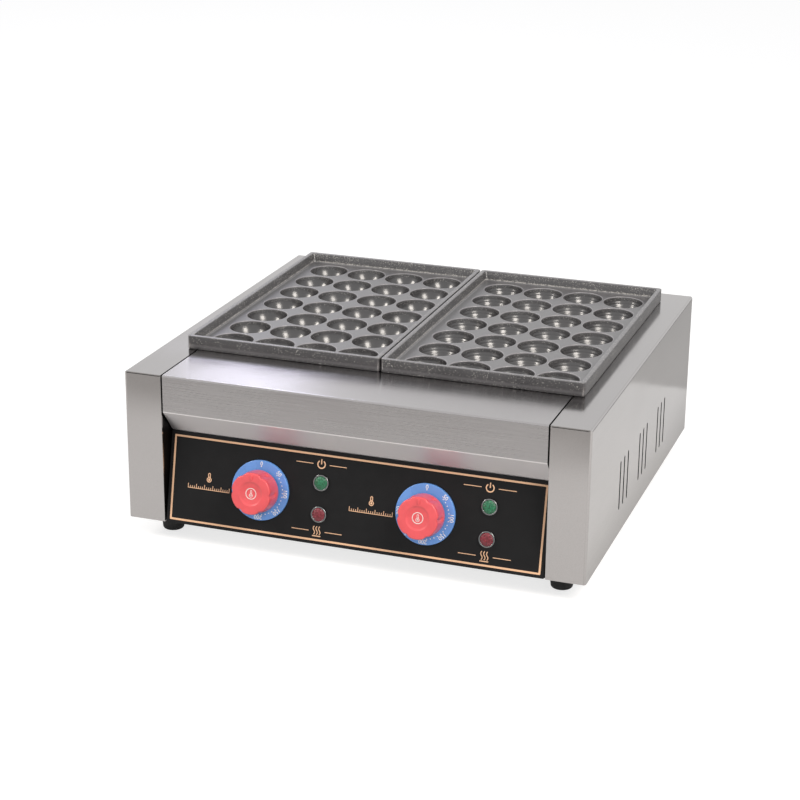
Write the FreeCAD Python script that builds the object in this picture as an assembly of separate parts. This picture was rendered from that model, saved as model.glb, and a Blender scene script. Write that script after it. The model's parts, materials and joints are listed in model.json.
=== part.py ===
import FreeCAD, Part
import math
import os

# Electric takoyaki maker, two plates side by side. Millimetres, X to the right, Y to the rear, Z up.
# The pieces are drawn with X = 0 at the middle, Y = 0 at the body's front and Z = 0 at its lower
# edge. write_nodes moves everything so that the origin is under the middle of the whole machine.

# Body, without feet, plates and knobs
BODY_WIDTH = 470.0
BODY_DEPTH = 450.0
BODY_HEIGHT = 154.0
SHEET = 1.0
FOLD_RADIUS = 0.8  # inside radius of a fold
CASING_FOLD_RADIUS = 1.6  # inside radius of the casings' long outer folds
PANEL_GAP = 0.8  # between a panel and the casings beside it
SEAT_GAP = 0.3  # between a piece and what it rests on, where they aren't face to face
PAST = 1.0  # how far a cutter goes beyond the faces it cuts

# Side casings
CASING_WIDTH = 39.0
CASING_RETURN = 24.0  # depth of the fold behind the front face
TOP_RETURN = 12.0  # height of the fold under the top face
CASING_FLANGE = 15.0  # width of the fold along the bottom
SEAM = 0.6  # open seam between the top face and the front face
VENT_GROUPS = 3
VENTS_IN_GROUP = 3
VENT_GROUP_PITCH = 83.0
VENT_PITCH = 16.0
VENT_HEIGHT = 51.0
VENT_WIDTH = 4.2
VENT_LIFT = 27.0  # lower end of a vent over the body's lower edge

# Deck, fascia and chin, rear ledge and rear cover
DECK_DEPTH = 84.0  # from the front to the plates
REAR_LEDGE = 30.0  # from the plates to the rear
LEDGE_FOLD = 20.0  # height of the fold at the rear ledge's end
END_SEAT = 8.5  # how far the deck and the rear ledge reach under the plates
FASCIA_HEIGHT = 38.0
CHIN_HEIGHT = 24.4
CHIN_SETBACK = 20.2
CHIN_FLANGE = 12.0  # depth of the fold behind the chin
CARRIER_FLANGE = 10.0  # depth of the fold along the control panel's top
BOTTOM_FLANGE = 14.0  # depth of the folds along the bottom, front and rear

# Sloped control panel
PANEL_FOOT_SETBACK = 0.2
OVERLAY_THICKNESS = 0.8
OVERLAY_SIDE_MARGIN = 0.8  # steel left bare beside the overlay
OVERLAY_FOOT_GAP = 0.2  # from the body's lower edge to the overlay
OVERLAY_TOP_GAP = 0.5  # from the overlay to the chin
MODULE_PITCH = 170.2  # from the left controls to the right ones
MODULE_SHIFT = -10.8  # middle of the two knobs from the machine's middle
LAMP_OFFSET = 62.3  # lamps to the right of their knob
LAMP_PITCH = 31.2  # from the heating lamp up to the power lamp
CONTROL_DROP = 1.3  # row of controls under the panel's middle

# Knobs, dials and thermostats
DIAL_RADIUS = 29.8
DIAL_HEIGHT = 3.0
DIAL_WALL = 1.2
DIAL_HOLE_RADIUS = 8.0
KNOB_RADIUS = 21.4
KNOB_DRAFT = 0.2  # how much narrower the knob is at its face
KNOB_HEIGHT = 20.9
KNOB_SKIRT_HEIGHT = 5.0
KNOB_LIFT = 2.6  # under the skirt, over the dial
KNOB_WALL = 2.0
KNOB_EDGE_RADIUS = 1.2
KNOB_FOOT_RADIUS = 0.8
SCALLOPS = 6  # hollows round the grip
SCALLOP_RADIUS = 7.0
SCALLOP_DEPTH = 1.4
DISH_RADIUS = 12.0
DISH_DEPTH = 1.6
POINTER_WIDTH = 2.4
POINTER_HEIGHT = 0.8
POINTER_GAP = 1.0  # from the dish to the pointer
HUB_RADIUS = 5.5
HUB_ROOF = 1.0  # between the spindle's end and the dish
SPINDLE_RADIUS = 3.0
SPINDLE_FLAT = 1.5  # depth of the flat that turns the knob
SPINDLE_PLAY = 0.05
SPINDLE_SEAT = 12.0  # how far the spindle goes into the thermostat
BUSH_RADIUS = 5.0
BUSH_HEIGHT = 3.0  # bush in front of the thermostat's face
THERMOSTAT_WIDTH = 36.0
THERMOSTAT_HEIGHT = 46.0
THERMOSTAT_DEPTH = 30.0
THERMOSTAT_CORNER_RADIUS = 3.0
THERMOSTAT_SCREW_PITCH = 28.0
SENSOR_RADIUS = 3.0
SENSOR_LENGTH = 90.0
BULB_DROP = 4.0  # the sensor's bulb under the heating element's axis
CAPILLARY_RADIUS = 0.9
CAPILLARY_PLAY = 0.4
CAPILLARY_BEND = 10.0
CAPILLARY_LEAD = 14.0  # straight run behind the thermostat
CAPILLARY_SLANT = 12.0  # from there to the corner in front of the pan
TAB_WIDTH = 4.8
TAB_LENGTH = 8.0
TAB_THICKNESS = 0.8

# Indicator lamps
LAMP_HOLE_RADIUS = 6.2
LAMP_BEZEL_RADIUS = 8.1
LAMP_BEZEL_HEIGHT = 2.2
LAMP_BEZEL_OUTER_RADIUS = 0.7
LAMP_BEZEL_INNER_RADIUS = 0.3
LENS_RADIUS = 6.5
LENS_HEIGHT = 3.4
LENS_EDGE_RADIUS = 1.2
LENS_PLAY = 0.1
LAMP_BODY_LENGTH = 24.0
LAMP_NUT_WIDTH = 15.0
LAMP_NUT_THICKNESS = 3.0

# Grill plates
PLATE_GAP = 1.6  # between the two plates
SIDE_SEAT = 10.0  # how far a plate lies over its side casing
RIM_HEIGHT = 10.4  # from the floor to the rim's top
RIM_WIDTH = 4.6
RIM_DRAFT = 2.0  # how much the rim is wider at the floor
FLOOR_THICKNESS = 3.7
PLATE_CORNER_RADIUS = 3.0
RIM_EDGE_RADIUS = 0.8
CUP_RADIUS = 21.2  # at the floor
CUP_DEPTH_SHARE = 0.95  # a cup's depth over its radius
CUP_WALL = 2.7
CUP_WEB = 2.6  # floor between two cups
CUP_LIP_RADIUS = 0.6
CUP_CLEARANCE = 0.5  # from the outer cups to the body's opening

# Heating elements, their pan and the divider
HEATER_RADIUS = 4.0
HEATER_GAP = 0.5  # under the cups
HEATER_TAIL = 16.0  # in front of the pan
HEATER_END_GAP = 6.0  # from the element's bends to the pan's ends
HEATER_BEND_TRIM = 0.01  # straight run left between two quarter bends
HEATER_PIN_RADIUS = 1.5
HEATER_PIN_LENGTH = 12.0
HEATER_NUT_WIDTH = 14.0
HEATER_NUT_THICKNESS = 4.0
COMB_THICKNESS = 1.5
COMB_FOOT = 10.0
COMB_MARGIN = 12.0  # of a comb beyond the outer legs
COMB_SETBACK = 60.0  # from the pan's ends to a comb
BULB_LEAD = 20.0  # part of the bulb in front of the comb that carries it
PAN_SHEET = 0.8
PAN_DEPTH = 44.0  # from the deck's underside to the pan's underside
PAN_SIDE_DROP = 8.0  # the pan's side walls end this far under the deck
PAN_LIP = 9.0
PAN_LIP_INSET = 2.0  # a lip's ends from the pan's sides
DIVIDER_WIDTH = 22.0

# Base, feet and fasteners
FOOT_HEIGHT = 21.0
FOOT_TOP_RADIUS = 12.8
FOOT_BOTTOM_RADIUS = 10.5
FOOT_EDGE_RADIUS = 2.5
FOOT_SIDE_INSET = 31.5  # from the body's side to a foot's middle
FOOT_END_INSET = 35.0  # from the body's front or rear to a foot's middle
FOOT_BORE_RADIUS = 2.2
FOOT_SOCKET_RADIUS = 5.0
FOOT_SOCKET_DEPTH = 6.0
SCREW_RADIUS = 2.0
SCREW_HEAD_RADIUS = 3.8
SCREW_HEAD_HEIGHT = 2.2
SCREW_LENGTH = 8.0
SCREW_PLAY = 0.2
NUT_WIDTH = 7.0
NUT_THICKNESS = 3.2
SCREW_DRIVE_WIDTH = 2.2  # hexagonal drive recess, across flats
FOOT_SCREW_END = 2.0  # beyond the foot's nut
BASE_EDGE_GAP = 3.0  # from the base plate to the outside of the front and rear walls
REAR_SCREW_INSET = 9.0
REAR_SCREW_SHARES = (0.2, 0.5, 0.8)  # heights on each side, over the body's height

# Rear inlet and earth stud
INLET_X = 150.0
INLET_LIFT = 34.0
GLAND_RADIUS = 10.0  # threaded part
GLAND_WIDTH = 24.0  # across flats
GLAND_FLANGE = 5.0
GLAND_DOME = 14.0
GLAND_DOME_WALL = 3.0  # round the bore at the dome's end
GLAND_DOME_RADIUS = 2.0
GLAND_THREAD_END = 2.0  # beyond the locknut
GLAND_BORE_RADIUS = 5.0
GLAND_NUT_WIDTH = 27.0
GLAND_NUT_THICKNESS = 4.0
STUD_OFFSET = -38.0  # earth stud from the inlet
STUD_RADIUS = 3.0
STUD_TAPER = 1.0  # from the thread to the tip
STUD_TIP_RADIUS = 2.4
STUD_TIP_LENGTH = 8.0
STUD_NUT_WIDTH = 10.0
STUD_NUT_THICKNESS = 5.0
TERMINAL_WIDTH = 58.0
TERMINAL_DEPTH = 26.0
TERMINAL_HEIGHT = 18.0
TERMINAL_POLES = 4
TERMINAL_SETBACK = 45.0  # from the body's rear to the block's middle
TERMINAL_WELL_RADIUS = 3.2
TERMINAL_WELL_DEPTH = 6.0
TERMINAL_SCREW_RADIUS = 3.0
TERMINAL_SCREW_LENGTH = 5.0

# Worked out from the sizes above
INNER_X = BODY_WIDTH / 2 - CASING_WIDTH
PANEL_X = INNER_X - PANEL_GAP
CASING_DEPTH = BODY_DEPTH - SHEET
COVER_X = BODY_WIDTH / 2 - SHEET - CASING_FOLD_RADIUS
COVER_TOP = BODY_HEIGHT - SHEET - CASING_FOLD_RADIUS
CHIN_BOTTOM = BODY_HEIGHT - FASCIA_HEIGHT - CHIN_HEIGHT
PANEL_RUN = CHIN_SETBACK - PANEL_FOOT_SETBACK
PANEL_TILT = math.atan2(PANEL_RUN, CHIN_BOTTOM)
PANEL_LENGTH = math.hypot(PANEL_RUN, CHIN_BOTTOM)
CONTROL_ROW = PANEL_LENGTH / 2 - CONTROL_DROP
KNOB_XS = (MODULE_SHIFT - MODULE_PITCH / 2, MODULE_SHIFT + MODULE_PITCH / 2)
CARRIER_BACK = -OVERLAY_THICKNESS - SHEET
CARRIER_FOOT_Y = PANEL_FOOT_SETBACK + OVERLAY_THICKNESS / math.cos(PANEL_TILT)
KNOB_FOOT = DIAL_HEIGHT + KNOB_LIFT
KNOB_TOP_RADIUS = KNOB_RADIUS - KNOB_DRAFT
KNOB_ROOF = KNOB_HEIGHT - KNOB_WALL - DISH_DEPTH  # underside of the knob's face
SCREW_HOLE_RADIUS = SCREW_RADIUS + SCREW_PLAY

STUD_THREAD_END = BODY_DEPTH + 2 * STUD_NUT_THICKNESS  # at the outer nut's face

CUP_DEPTH = CUP_DEPTH_SHARE * CUP_RADIUS
CUP_PITCH = 2 * CUP_RADIUS + CUP_WEB
CUP_SPHERE = (CUP_RADIUS**2 + CUP_DEPTH**2) / (2 * CUP_DEPTH)
CUP_RISE = CUP_SPHERE - CUP_DEPTH  # the sphere's centre over the floor
BULGE_SPHERE = CUP_SPHERE + CUP_WALL
PLATE_WIDTH = BODY_WIDTH / 2 - CASING_WIDTH + SIDE_SEAT - PLATE_GAP / 2
PLATE_DEPTH = BODY_DEPTH - DECK_DEPTH - REAR_LEDGE
PLATE_X = PLATE_GAP / 2 + PLATE_WIDTH / 2
PLATE_Y = DECK_DEPTH + PLATE_DEPTH / 2
PLATE_FOOT = BODY_HEIGHT + SEAT_GAP
FLOOR_Z = PLATE_FOOT + FLOOR_THICKNESS
CUP_MARGIN = CUP_CLEARANCE + BULGE_SPHERE - CUP_PITCH / 2  # least floor beyond the outer tiles
CUP_COLUMNS = int((PLATE_WIDTH - 2 * (SIDE_SEAT + CUP_MARGIN)) // CUP_PITCH)
CUP_ROWS = int((PLATE_DEPTH - 2 * (END_SEAT + CUP_MARGIN)) // CUP_PITCH)
CUP_BOTTOM = FLOOR_Z - CUP_DEPTH - CUP_WALL
OPENING_FRONT = DECK_DEPTH + END_SEAT
OPENING_REAR = BODY_DEPTH - REAR_LEDGE - END_SEAT

DECK_UNDERSIDE = BODY_HEIGHT - SHEET
PAN_BOTTOM = DECK_UNDERSIDE - PAN_DEPTH
PAN_FLOOR = PAN_BOTTOM + PAN_SHEET
PAN_X = INNER_X - SEAT_GAP
PAN_FRONT = OPENING_FRONT - SEAT_GAP - PAN_SHEET
PAN_REAR = OPENING_REAR + SEAT_GAP + PAN_SHEET
HEATER_Z = CUP_BOTTOM - HEATER_GAP - HEATER_RADIUS
HEATER_LEGS = CUP_COLUMNS - CUP_COLUMNS % 2
COMB_YS = (PAN_FRONT + COMB_SETBACK, PAN_REAR - COMB_SETBACK)
BASE_BOTTOM = SHEET
BASE_TOP = BASE_BOTTOM + SHEET

X_AXIS = FreeCAD.Vector(1, 0, 0)
Y_AXIS = FreeCAD.Vector(0, 1, 0)
Z_AXIS = FreeCAD.Vector(0, 0, 1)
TOLERANCE = 0.01  # for finding an edge by its place or its radius
SIDES = {"left": -1, "right": 1}
LEVELS = {"power": 1, "heat": -1}  # the power lamp is above the heating lamp

nodes = {}


def point(x, y, z):
    return FreeCAD.Vector(x, y, z)


def box(x_range, y_range, z_range):
    """A box between the low and high value of each axis."""
    low, high = zip(x_range, y_range, z_range)
    size = [b - a for a, b in zip(low, high)]
    return Part.makeBox(*size, point(*low))


def cylinder(radius, start, direction, length):
    return Part.makeCylinder(radius, length, start, direction)


def through_hole(radius, face, direction, depth):
    """Cutter that starts in front of the face and ends beyond the depth."""
    return cylinder(radius, face - direction * PAST, direction, depth + 2 * PAST)


def rounded_wire(corners, radii):
    """Closed flat wire through the corners, each rounded with its own radius, 0 for a sharp one."""
    edges = []
    stops = []
    for i, corner in enumerate(corners):
        before = (corner - corners[i - 1]).normalize()
        after = (corners[(i + 1) % len(corners)] - corner).normalize()
        turn = before.getAngle(after)
        radius = radii[i]
        if radius == 0 or turn == 0:
            stops.append((corner, None, corner))
            continue
        reach = radius * math.tan(turn / 2)
        middle = (after - before).normalize()
        centre = corner + middle * (radius / math.cos(turn / 2))
        stops.append((corner - before * reach, centre - middle * radius, corner + after * reach))
    for i, (start, middle, end) in enumerate(stops):
        if middle:
            edges.append(Part.Arc(start, middle, end).toShape())
        following = stops[(i + 1) % len(stops)][0]
        if not end.isEqual(following, TOLERANCE**2):
            edges.append(Part.makeLine(end, following))
    return Part.Wire(edges)


def prism(corners, radii, travel):
    """Solid swept by a rounded outline along the travel vector."""
    return Part.Face(rounded_wire(corners, radii)).extrude(travel)


def rectangle(width, depth, z):
    """Corners of a rectangle centred on the Z axis, counter-clockwise from above."""
    x, y = width / 2, depth / 2
    return [point(-x, -y, z), point(x, -y, z), point(x, y, z), point(-x, y, z)]


def offset_path(path, normal, distance):
    """The open path moved to its left by distance, as seen against the normal."""
    moved = []
    for i, corner in enumerate(path):
        before = (corner - path[i - 1]).normalize() if i else None
        after = (path[i + 1] - corner).normalize() if i + 1 < len(path) else None
        sides = [normal.cross(d) for d in (before, after) if d]
        middle = (sides[0] + sides[-1]).normalize()
        moved.append(corner + middle * (distance / middle.dot(sides[0])))
    return moved


def folded_sheet(path, thickness, travel):
    """Sheet with its outer face on the path in the YZ plane, swept along X by travel.

    A positive thickness lies to the left of the path as seen from +X, and a negative one to the right.
    """
    inner = offset_path(path, X_AXIS, thickness)
    large = FOLD_RADIUS + abs(thickness)
    outer_radii = [0]
    inner_radii = [0]
    for i in range(1, len(path) - 1):
        turn = X_AXIS.dot((path[i] - path[i - 1]).cross(path[i + 1] - path[i]))
        hollow = turn * thickness < 0
        outer_radii.append(FOLD_RADIUS if hollow else large)
        inner_radii.append(large if hollow else FOLD_RADIUS)
    radii = outer_radii + [0, 0] + inner_radii[:0:-1] + [0]
    return prism(path + inner[::-1], radii, X_AXIS * travel)


def mirrored(shape):
    return shape.mirror(point(0, 0, 0), X_AXIS)


def angles(count):
    """Equal steps round a full turn."""
    return [2 * math.pi * i / count for i in range(count)]


def hexagon(width, start, direction, length):
    """Hexagonal prism, width across flats."""
    corner = width / math.sqrt(3)
    ring = [point(corner * math.cos(a), corner * math.sin(a), 0) for a in angles(6)]
    solid = prism(ring, [0] * len(ring), Z_AXIS * length)
    solid.Placement = FreeCAD.Placement(start, FreeCAD.Rotation(Z_AXIS, direction))
    return solid


def nut(width, bore_radius, start, direction, length):
    return hexagon(width, start, direction, length).cut(through_hole(bore_radius, start, direction, length))


def revolved(profile, radii):
    """Solid turned about the Z axis from corners given as (radius, height)."""
    corners = [point(r, 0, z) for r, z in profile]
    return Part.Face(rounded_wire(corners, radii)).revolve(point(0, 0, 0), Z_AXIS, 360)


def on_panel(shape):
    """Moves a shape from the panel's frame: X right, Y up the slope, Z out of the panel's face."""
    turn = FreeCAD.Rotation(X_AXIS, 90 - math.degrees(PANEL_TILT))
    foot = FreeCAD.Placement(point(0, PANEL_FOOT_SETBACK, 0), turn)
    placed = shape.copy()
    placed.Placement = foot.multiply(placed.Placement)
    return placed


def tube(corners, bend, radius):
    """Round rod along straight runs joined by arcs."""
    edges = []
    start = corners[0]
    for before, corner, after in zip(corners, corners[1:], corners[2:]):
        into = (corner - before).normalize()
        out = (after - corner).normalize()
        turn = into.getAngle(out)
        reach = bend * math.tan(turn / 2)
        middle = (out - into).normalize()
        centre = corner + middle * (bend / math.cos(turn / 2))
        first = corner - into * reach
        last = corner + out * reach
        edges.append(Part.makeLine(start, first))
        edges.append(Part.Arc(first, centre - middle * bend, last).toShape())
        start = last
    edges.append(Part.makeLine(start, corners[-1]))
    ring = Part.makeCircle(radius, corners[0], (corners[1] - corners[0]).normalize())
    return Part.Wire(edges).makePipeShell([Part.Wire(ring)], True, False)


def screw(head, direction, length):
    """Pan head screw. head is the point under its head, and direction is where the shank goes."""
    outward = direction * -1
    top = head + outward * SCREW_HEAD_HEIGHT
    cap = cylinder(SCREW_HEAD_RADIUS, head, outward, SCREW_HEAD_HEIGHT)
    rim = [e for e in cap.Edges if e.CenterOfMass.isEqual(top, TOLERANCE)]
    cap = cap.makeFillet(SCREW_HEAD_HEIGHT / 2, rim)
    recess = hexagon(SCREW_DRIVE_WIDTH, head + outward * (SCREW_HEAD_HEIGHT / 2), outward, SCREW_HEAD_HEIGHT)
    return cylinder(SCREW_RADIUS, head, direction, length).fuse(cap).cut(recess)


def side_casing():
    """Right-hand casing: outer wall, front, rear and top faces, and folds along their edges."""
    outer_x = BODY_WIDTH / 2
    inside_x = INNER_X + SHEET
    rear_inside = CASING_DEPTH - SHEET
    block = box((INNER_X, outer_x), (0, CASING_DEPTH), (0, BODY_HEIGHT))
    block = round_casing(block, CASING_FOLD_RADIUS + SHEET)
    hollow = box((inside_x, outer_x - SHEET), (SHEET, rear_inside), (SHEET, DECK_UNDERSIDE))
    shell = block.cut(round_casing(hollow, CASING_FOLD_RADIUS))
    doorway = box((INNER_X - PAST, inside_x), (CASING_RETURN, rear_inside), (-PAST, BODY_HEIGHT - TOP_RETURN))
    floor_x = (INNER_X - PAST, outer_x - CASING_FLANGE)
    floor_hole = box(floor_x, (CASING_FLANGE, BODY_DEPTH), (-PAST, SHEET + FOLD_RADIUS))
    seam_x = (INNER_X - PAST, outer_x - CASING_FOLD_RADIUS - SHEET)
    seam = box(seam_x, (-PAST, SHEET), (DECK_UNDERSIDE - SEAM, DECK_UNDERSIDE))
    holes = [through_hole(SCREW_HOLE_RADIUS, point(x, y, 0), Z_AXIS, SHEET) for x, y in base_screw_places()]
    holes += rear_screw_holes(SCREW_RADIUS)
    return shell.cut([doorway, floor_hole, seam] + vents(outer_x) + holes)


def round_casing(block, radius):
    """Rounds the outer wall's three long edges: front, rear and top."""
    limits = block.BoundBox
    picked = []
    for edge in block.Edges:
        at = edge.CenterOfMass
        on_wall = abs(at.x - limits.XMax) < TOLERANCE
        upright = abs(at.z - limits.Center.z) < TOLERANCE
        along_top = abs(at.z - limits.ZMax) < TOLERANCE and abs(at.y - limits.Center.y) < TOLERANCE
        if on_wall and (upright or along_top):
            picked.append(edge)
    return block.makeFillet(radius, picked)


def vents(outer_x):
    """Cutters for the upright slots in the outer wall."""
    cutters = []
    radius = VENT_WIDTH / 2
    start = outer_x - SHEET - PAST
    low = VENT_LIFT + radius
    high = VENT_LIFT + VENT_HEIGHT - radius
    for group in range(VENT_GROUPS):
        for vent in range(VENTS_IN_GROUP):
            y = BODY_DEPTH / 2 + (group - (VENT_GROUPS - 1) / 2) * VENT_GROUP_PITCH
            y += (vent - (VENTS_IN_GROUP - 1) / 2) * VENT_PITCH
            slot = box((start, outer_x + PAST), (y - radius, y + radius), (low, high))
            ends = [cylinder(radius, point(start, y, z), X_AXIS, SHEET + 2 * PAST) for z in (low, high)]
            cutters.append(slot.fuse(ends))
    return cutters


def front_top_panel():
    """Deck, fascia, chin and the flange behind the chin, folded from one sheet."""
    path = [
        point(-PANEL_X, OPENING_FRONT, BODY_HEIGHT),
        point(-PANEL_X, 0, BODY_HEIGHT),
        point(-PANEL_X, 0, BODY_HEIGHT - FASCIA_HEIGHT),
        point(-PANEL_X, CHIN_SETBACK, CHIN_BOTTOM),
        point(-PANEL_X, CHIN_SETBACK + CHIN_FLANGE, CHIN_BOTTOM),
    ]
    return folded_sheet(path, SHEET, 2 * PANEL_X)


def rear_ledge():
    """Top strip behind the plates, with a fold that the rear cover is screwed to."""
    path = [
        point(-PANEL_X, OPENING_REAR, BODY_HEIGHT),
        point(-PANEL_X, CASING_DEPTH, BODY_HEIGHT),
        point(-PANEL_X, CASING_DEPTH, BODY_HEIGHT - LEDGE_FOLD),
    ]
    return folded_sheet(path, -SHEET, 2 * PANEL_X).cut(rear_screw_holes(SCREW_RADIUS))


def rear_cover():
    """Flat cover over the whole back, with a bottom flange and holes for the inlet and the earth stud."""
    path = [
        point(-COVER_X, BODY_DEPTH, COVER_TOP),
        point(-COVER_X, BODY_DEPTH, 0),
        point(-COVER_X, BODY_DEPTH - BOTTOM_FLANGE, 0),
    ]
    cover = folded_sheet(path, -SHEET, 2 * COVER_X)
    flange_x = BODY_WIDTH / 2 - CASING_FLANGE - PANEL_GAP
    flange_y = (BODY_DEPTH - BOTTOM_FLANGE - PAST, CASING_DEPTH)
    flange_z = (-PAST, SHEET + FOLD_RADIUS)
    corners = [
        box((flange_x, COVER_X + PAST), flange_y, flange_z),
        box((-COVER_X - PAST, -flange_x), flange_y, flange_z),
    ]
    holes = [
        through_hole(GLAND_RADIUS + SCREW_PLAY, gland_centre(CASING_DEPTH), Y_AXIS, SHEET),
        through_hole(STUD_RADIUS + SCREW_PLAY, stud_centre(CASING_DEPTH), Y_AXIS, SHEET),
    ]
    return cover.cut(corners + holes + rear_screw_holes(SCREW_HOLE_RADIUS))


def rear_screw_places():
    """Points under the heads: a row into each casing and a row into the rear ledge's fold."""
    places = []
    for x in (-INNER_X - REAR_SCREW_INSET, INNER_X + REAR_SCREW_INSET):
        for share in REAR_SCREW_SHARES:
            places.append(point(x, BODY_DEPTH, BODY_HEIGHT * share))
    for x in (-INNER_X / 2, 0, INNER_X / 2):
        places.append(point(x, BODY_DEPTH, BODY_HEIGHT - LEDGE_FOLD / 2))
    return places


def rear_screw_holes(radius):
    """Cutters through the rear cover and the sheet behind it."""
    return [through_hole(radius, place, Y_AXIS * -1, 2 * SHEET) for place in rear_screw_places()]


def rear_screws():
    return Part.makeCompound([screw(place, Y_AXIS * -1, SCREW_LENGTH) for place in rear_screw_places()])


def control_panel():
    """Sloped steel carrier with a flange at its top and one at its bottom, and the controls' holes."""
    top = CHIN_BOTTOM - SEAT_GAP
    top_y = CARRIER_FOOT_Y + top * math.tan(PANEL_TILT)
    path = [
        point(-PANEL_X, top_y + CARRIER_FLANGE, top),
        point(-PANEL_X, top_y, top),
        point(-PANEL_X, CARRIER_FOOT_Y, 0),
        point(-PANEL_X, CARRIER_FOOT_Y + BOTTOM_FLANGE, 0),
    ]
    carrier = folded_sheet(path, SHEET, 2 * PANEL_X)
    return carrier.cut([on_panel(hole) for hole in control_holes(SCREW_HOLE_RADIUS)])


def thermostat_screw_places(x, height):
    half = THERMOSTAT_SCREW_PITCH / 2
    return [point(x, CONTROL_ROW - half, height), point(x, CONTROL_ROW + half, height)]


def control_holes(screw_hole_radius):
    """Cutters for the bushes, the thermostats' screws and the lamps, in the panel's frame."""
    holes = []
    depth = -CARRIER_BACK
    for x in KNOB_XS:
        bush_at = point(x, CONTROL_ROW, CARRIER_BACK)
        holes.append(through_hole(BUSH_RADIUS + SCREW_PLAY, bush_at, Z_AXIS, depth))
        for place in thermostat_screw_places(x, CARRIER_BACK):
            holes.append(through_hole(screw_hole_radius, place, Z_AXIS, depth))
        for level in LEVELS.values():
            holes.append(through_hole(LAMP_HOLE_RADIUS, lamp_centre(x, level, CARRIER_BACK), Z_AXIS, depth))
    return holes


def panel_overlay():
    """Black label plate on the carrier, with holes that clear the thermostats' screw heads."""
    half = PANEL_X - OVERLAY_SIDE_MARGIN
    y_range = (OVERLAY_FOOT_GAP, PANEL_LENGTH - OVERLAY_TOP_GAP)
    plate = box((-half, half), y_range, (-OVERLAY_THICKNESS, 0))
    return on_panel(plate.cut(control_holes(SCREW_HEAD_RADIUS + SCREW_PLAY)))


def dial_plate(x):
    """Shallow round cup that carries the temperature scale and covers the thermostat's screws."""
    inside = DIAL_HEIGHT - DIAL_WALL
    profile = [
        (DIAL_HOLE_RADIUS, inside),
        (DIAL_RADIUS - DIAL_WALL, inside),
        (DIAL_RADIUS - DIAL_WALL, 0),
        (DIAL_RADIUS, 0),
        (DIAL_RADIUS, DIAL_HEIGHT),
        (DIAL_HOLE_RADIUS, DIAL_HEIGHT),
    ]
    dial = revolved(profile, [0, 0, 0, 0, DIAL_WALL / 2, 0])
    return on_panel(dial.translated(point(x, CONTROL_ROW, 0)))


def knob(x):
    """Hollow cap with a round skirt, a hollowed grip, a dished face, a raised pointer and a hub."""
    outside = [(0, 0), (KNOB_RADIUS, 0), (KNOB_RADIUS, KNOB_SKIRT_HEIGHT), (KNOB_TOP_RADIUS, KNOB_HEIGHT)]
    outside.append((0, KNOB_HEIGHT))
    body = revolved(outside, [0, KNOB_FOOT_RADIUS, 0, KNOB_EDGE_RADIUS, 0])
    grip_wall = KNOB_WALL + SCALLOP_DEPTH
    inside = [(0, -PAST), (KNOB_RADIUS - KNOB_WALL, -PAST), (KNOB_RADIUS - grip_wall, KNOB_SKIRT_HEIGHT)]
    inside += [(KNOB_TOP_RADIUS - grip_wall, KNOB_ROOF), (0, KNOB_ROOF)]
    hollow = revolved(inside, [0] * len(inside))
    hub = cylinder(HUB_RADIUS, point(0, 0, 0), Z_AXIS, KNOB_HEIGHT - KNOB_WALL)
    dish_sphere = (DISH_RADIUS**2 + DISH_DEPTH**2) / (2 * DISH_DEPTH)
    dish = Part.makeSphere(dish_sphere, point(0, 0, KNOB_HEIGHT - DISH_DEPTH + dish_sphere))
    body = body.cut([hollow, dish] + grip_cutters()).fuse([hub.cut(dish), pointer()])
    bore = spindle_rod(SPINDLE_PLAY, -PAST)
    return on_panel(body.cut(bore).removeSplitter().translated(point(x, CONTROL_ROW, KNOB_FOOT)))


def grip_cutters():
    """Upright cylinders that hollow the grip above the skirt, one on each side of the pointer."""
    out = KNOB_RADIUS + SCALLOP_RADIUS - SCALLOP_DEPTH
    cutters = []
    for angle in angles(SCALLOPS):
        turned = angle + math.pi / SCALLOPS + math.pi / 2
        at = point(out * math.cos(turned), out * math.sin(turned), KNOB_SKIRT_HEIGHT)
        cutters.append(cylinder(SCALLOP_RADIUS, at, Z_AXIS, KNOB_HEIGHT))
    return cutters


def pointer():
    half = POINTER_WIDTH / 2
    y_range = (DISH_RADIUS + POINTER_GAP, KNOB_TOP_RADIUS - KNOB_EDGE_RADIUS)
    return box((-half, half), y_range, (KNOB_HEIGHT - KNOB_WALL, KNOB_HEIGHT + POINTER_HEIGHT))


def spindle_rod(play, start):
    """Rod with a flat along the part inside the knob. Heights are from the knob's foot."""
    top = KNOB_ROOF - HUB_ROOF + play
    rod = cylinder(SPINDLE_RADIUS + play, point(0, 0, start), Z_AXIS, top - start)
    reach = SPINDLE_RADIUS + PAST
    flat_y = SPINDLE_RADIUS - SPINDLE_FLAT + play
    return rod.cut(box((-reach, reach), (flat_y, reach), (SEAT_GAP, KNOB_HEIGHT)))


def spindle(x):
    rod = spindle_rod(0, CARRIER_BACK - KNOB_FOOT - SPINDLE_SEAT)
    return on_panel(rod.translated(point(x, CONTROL_ROW, KNOB_FOOT)))


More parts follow.
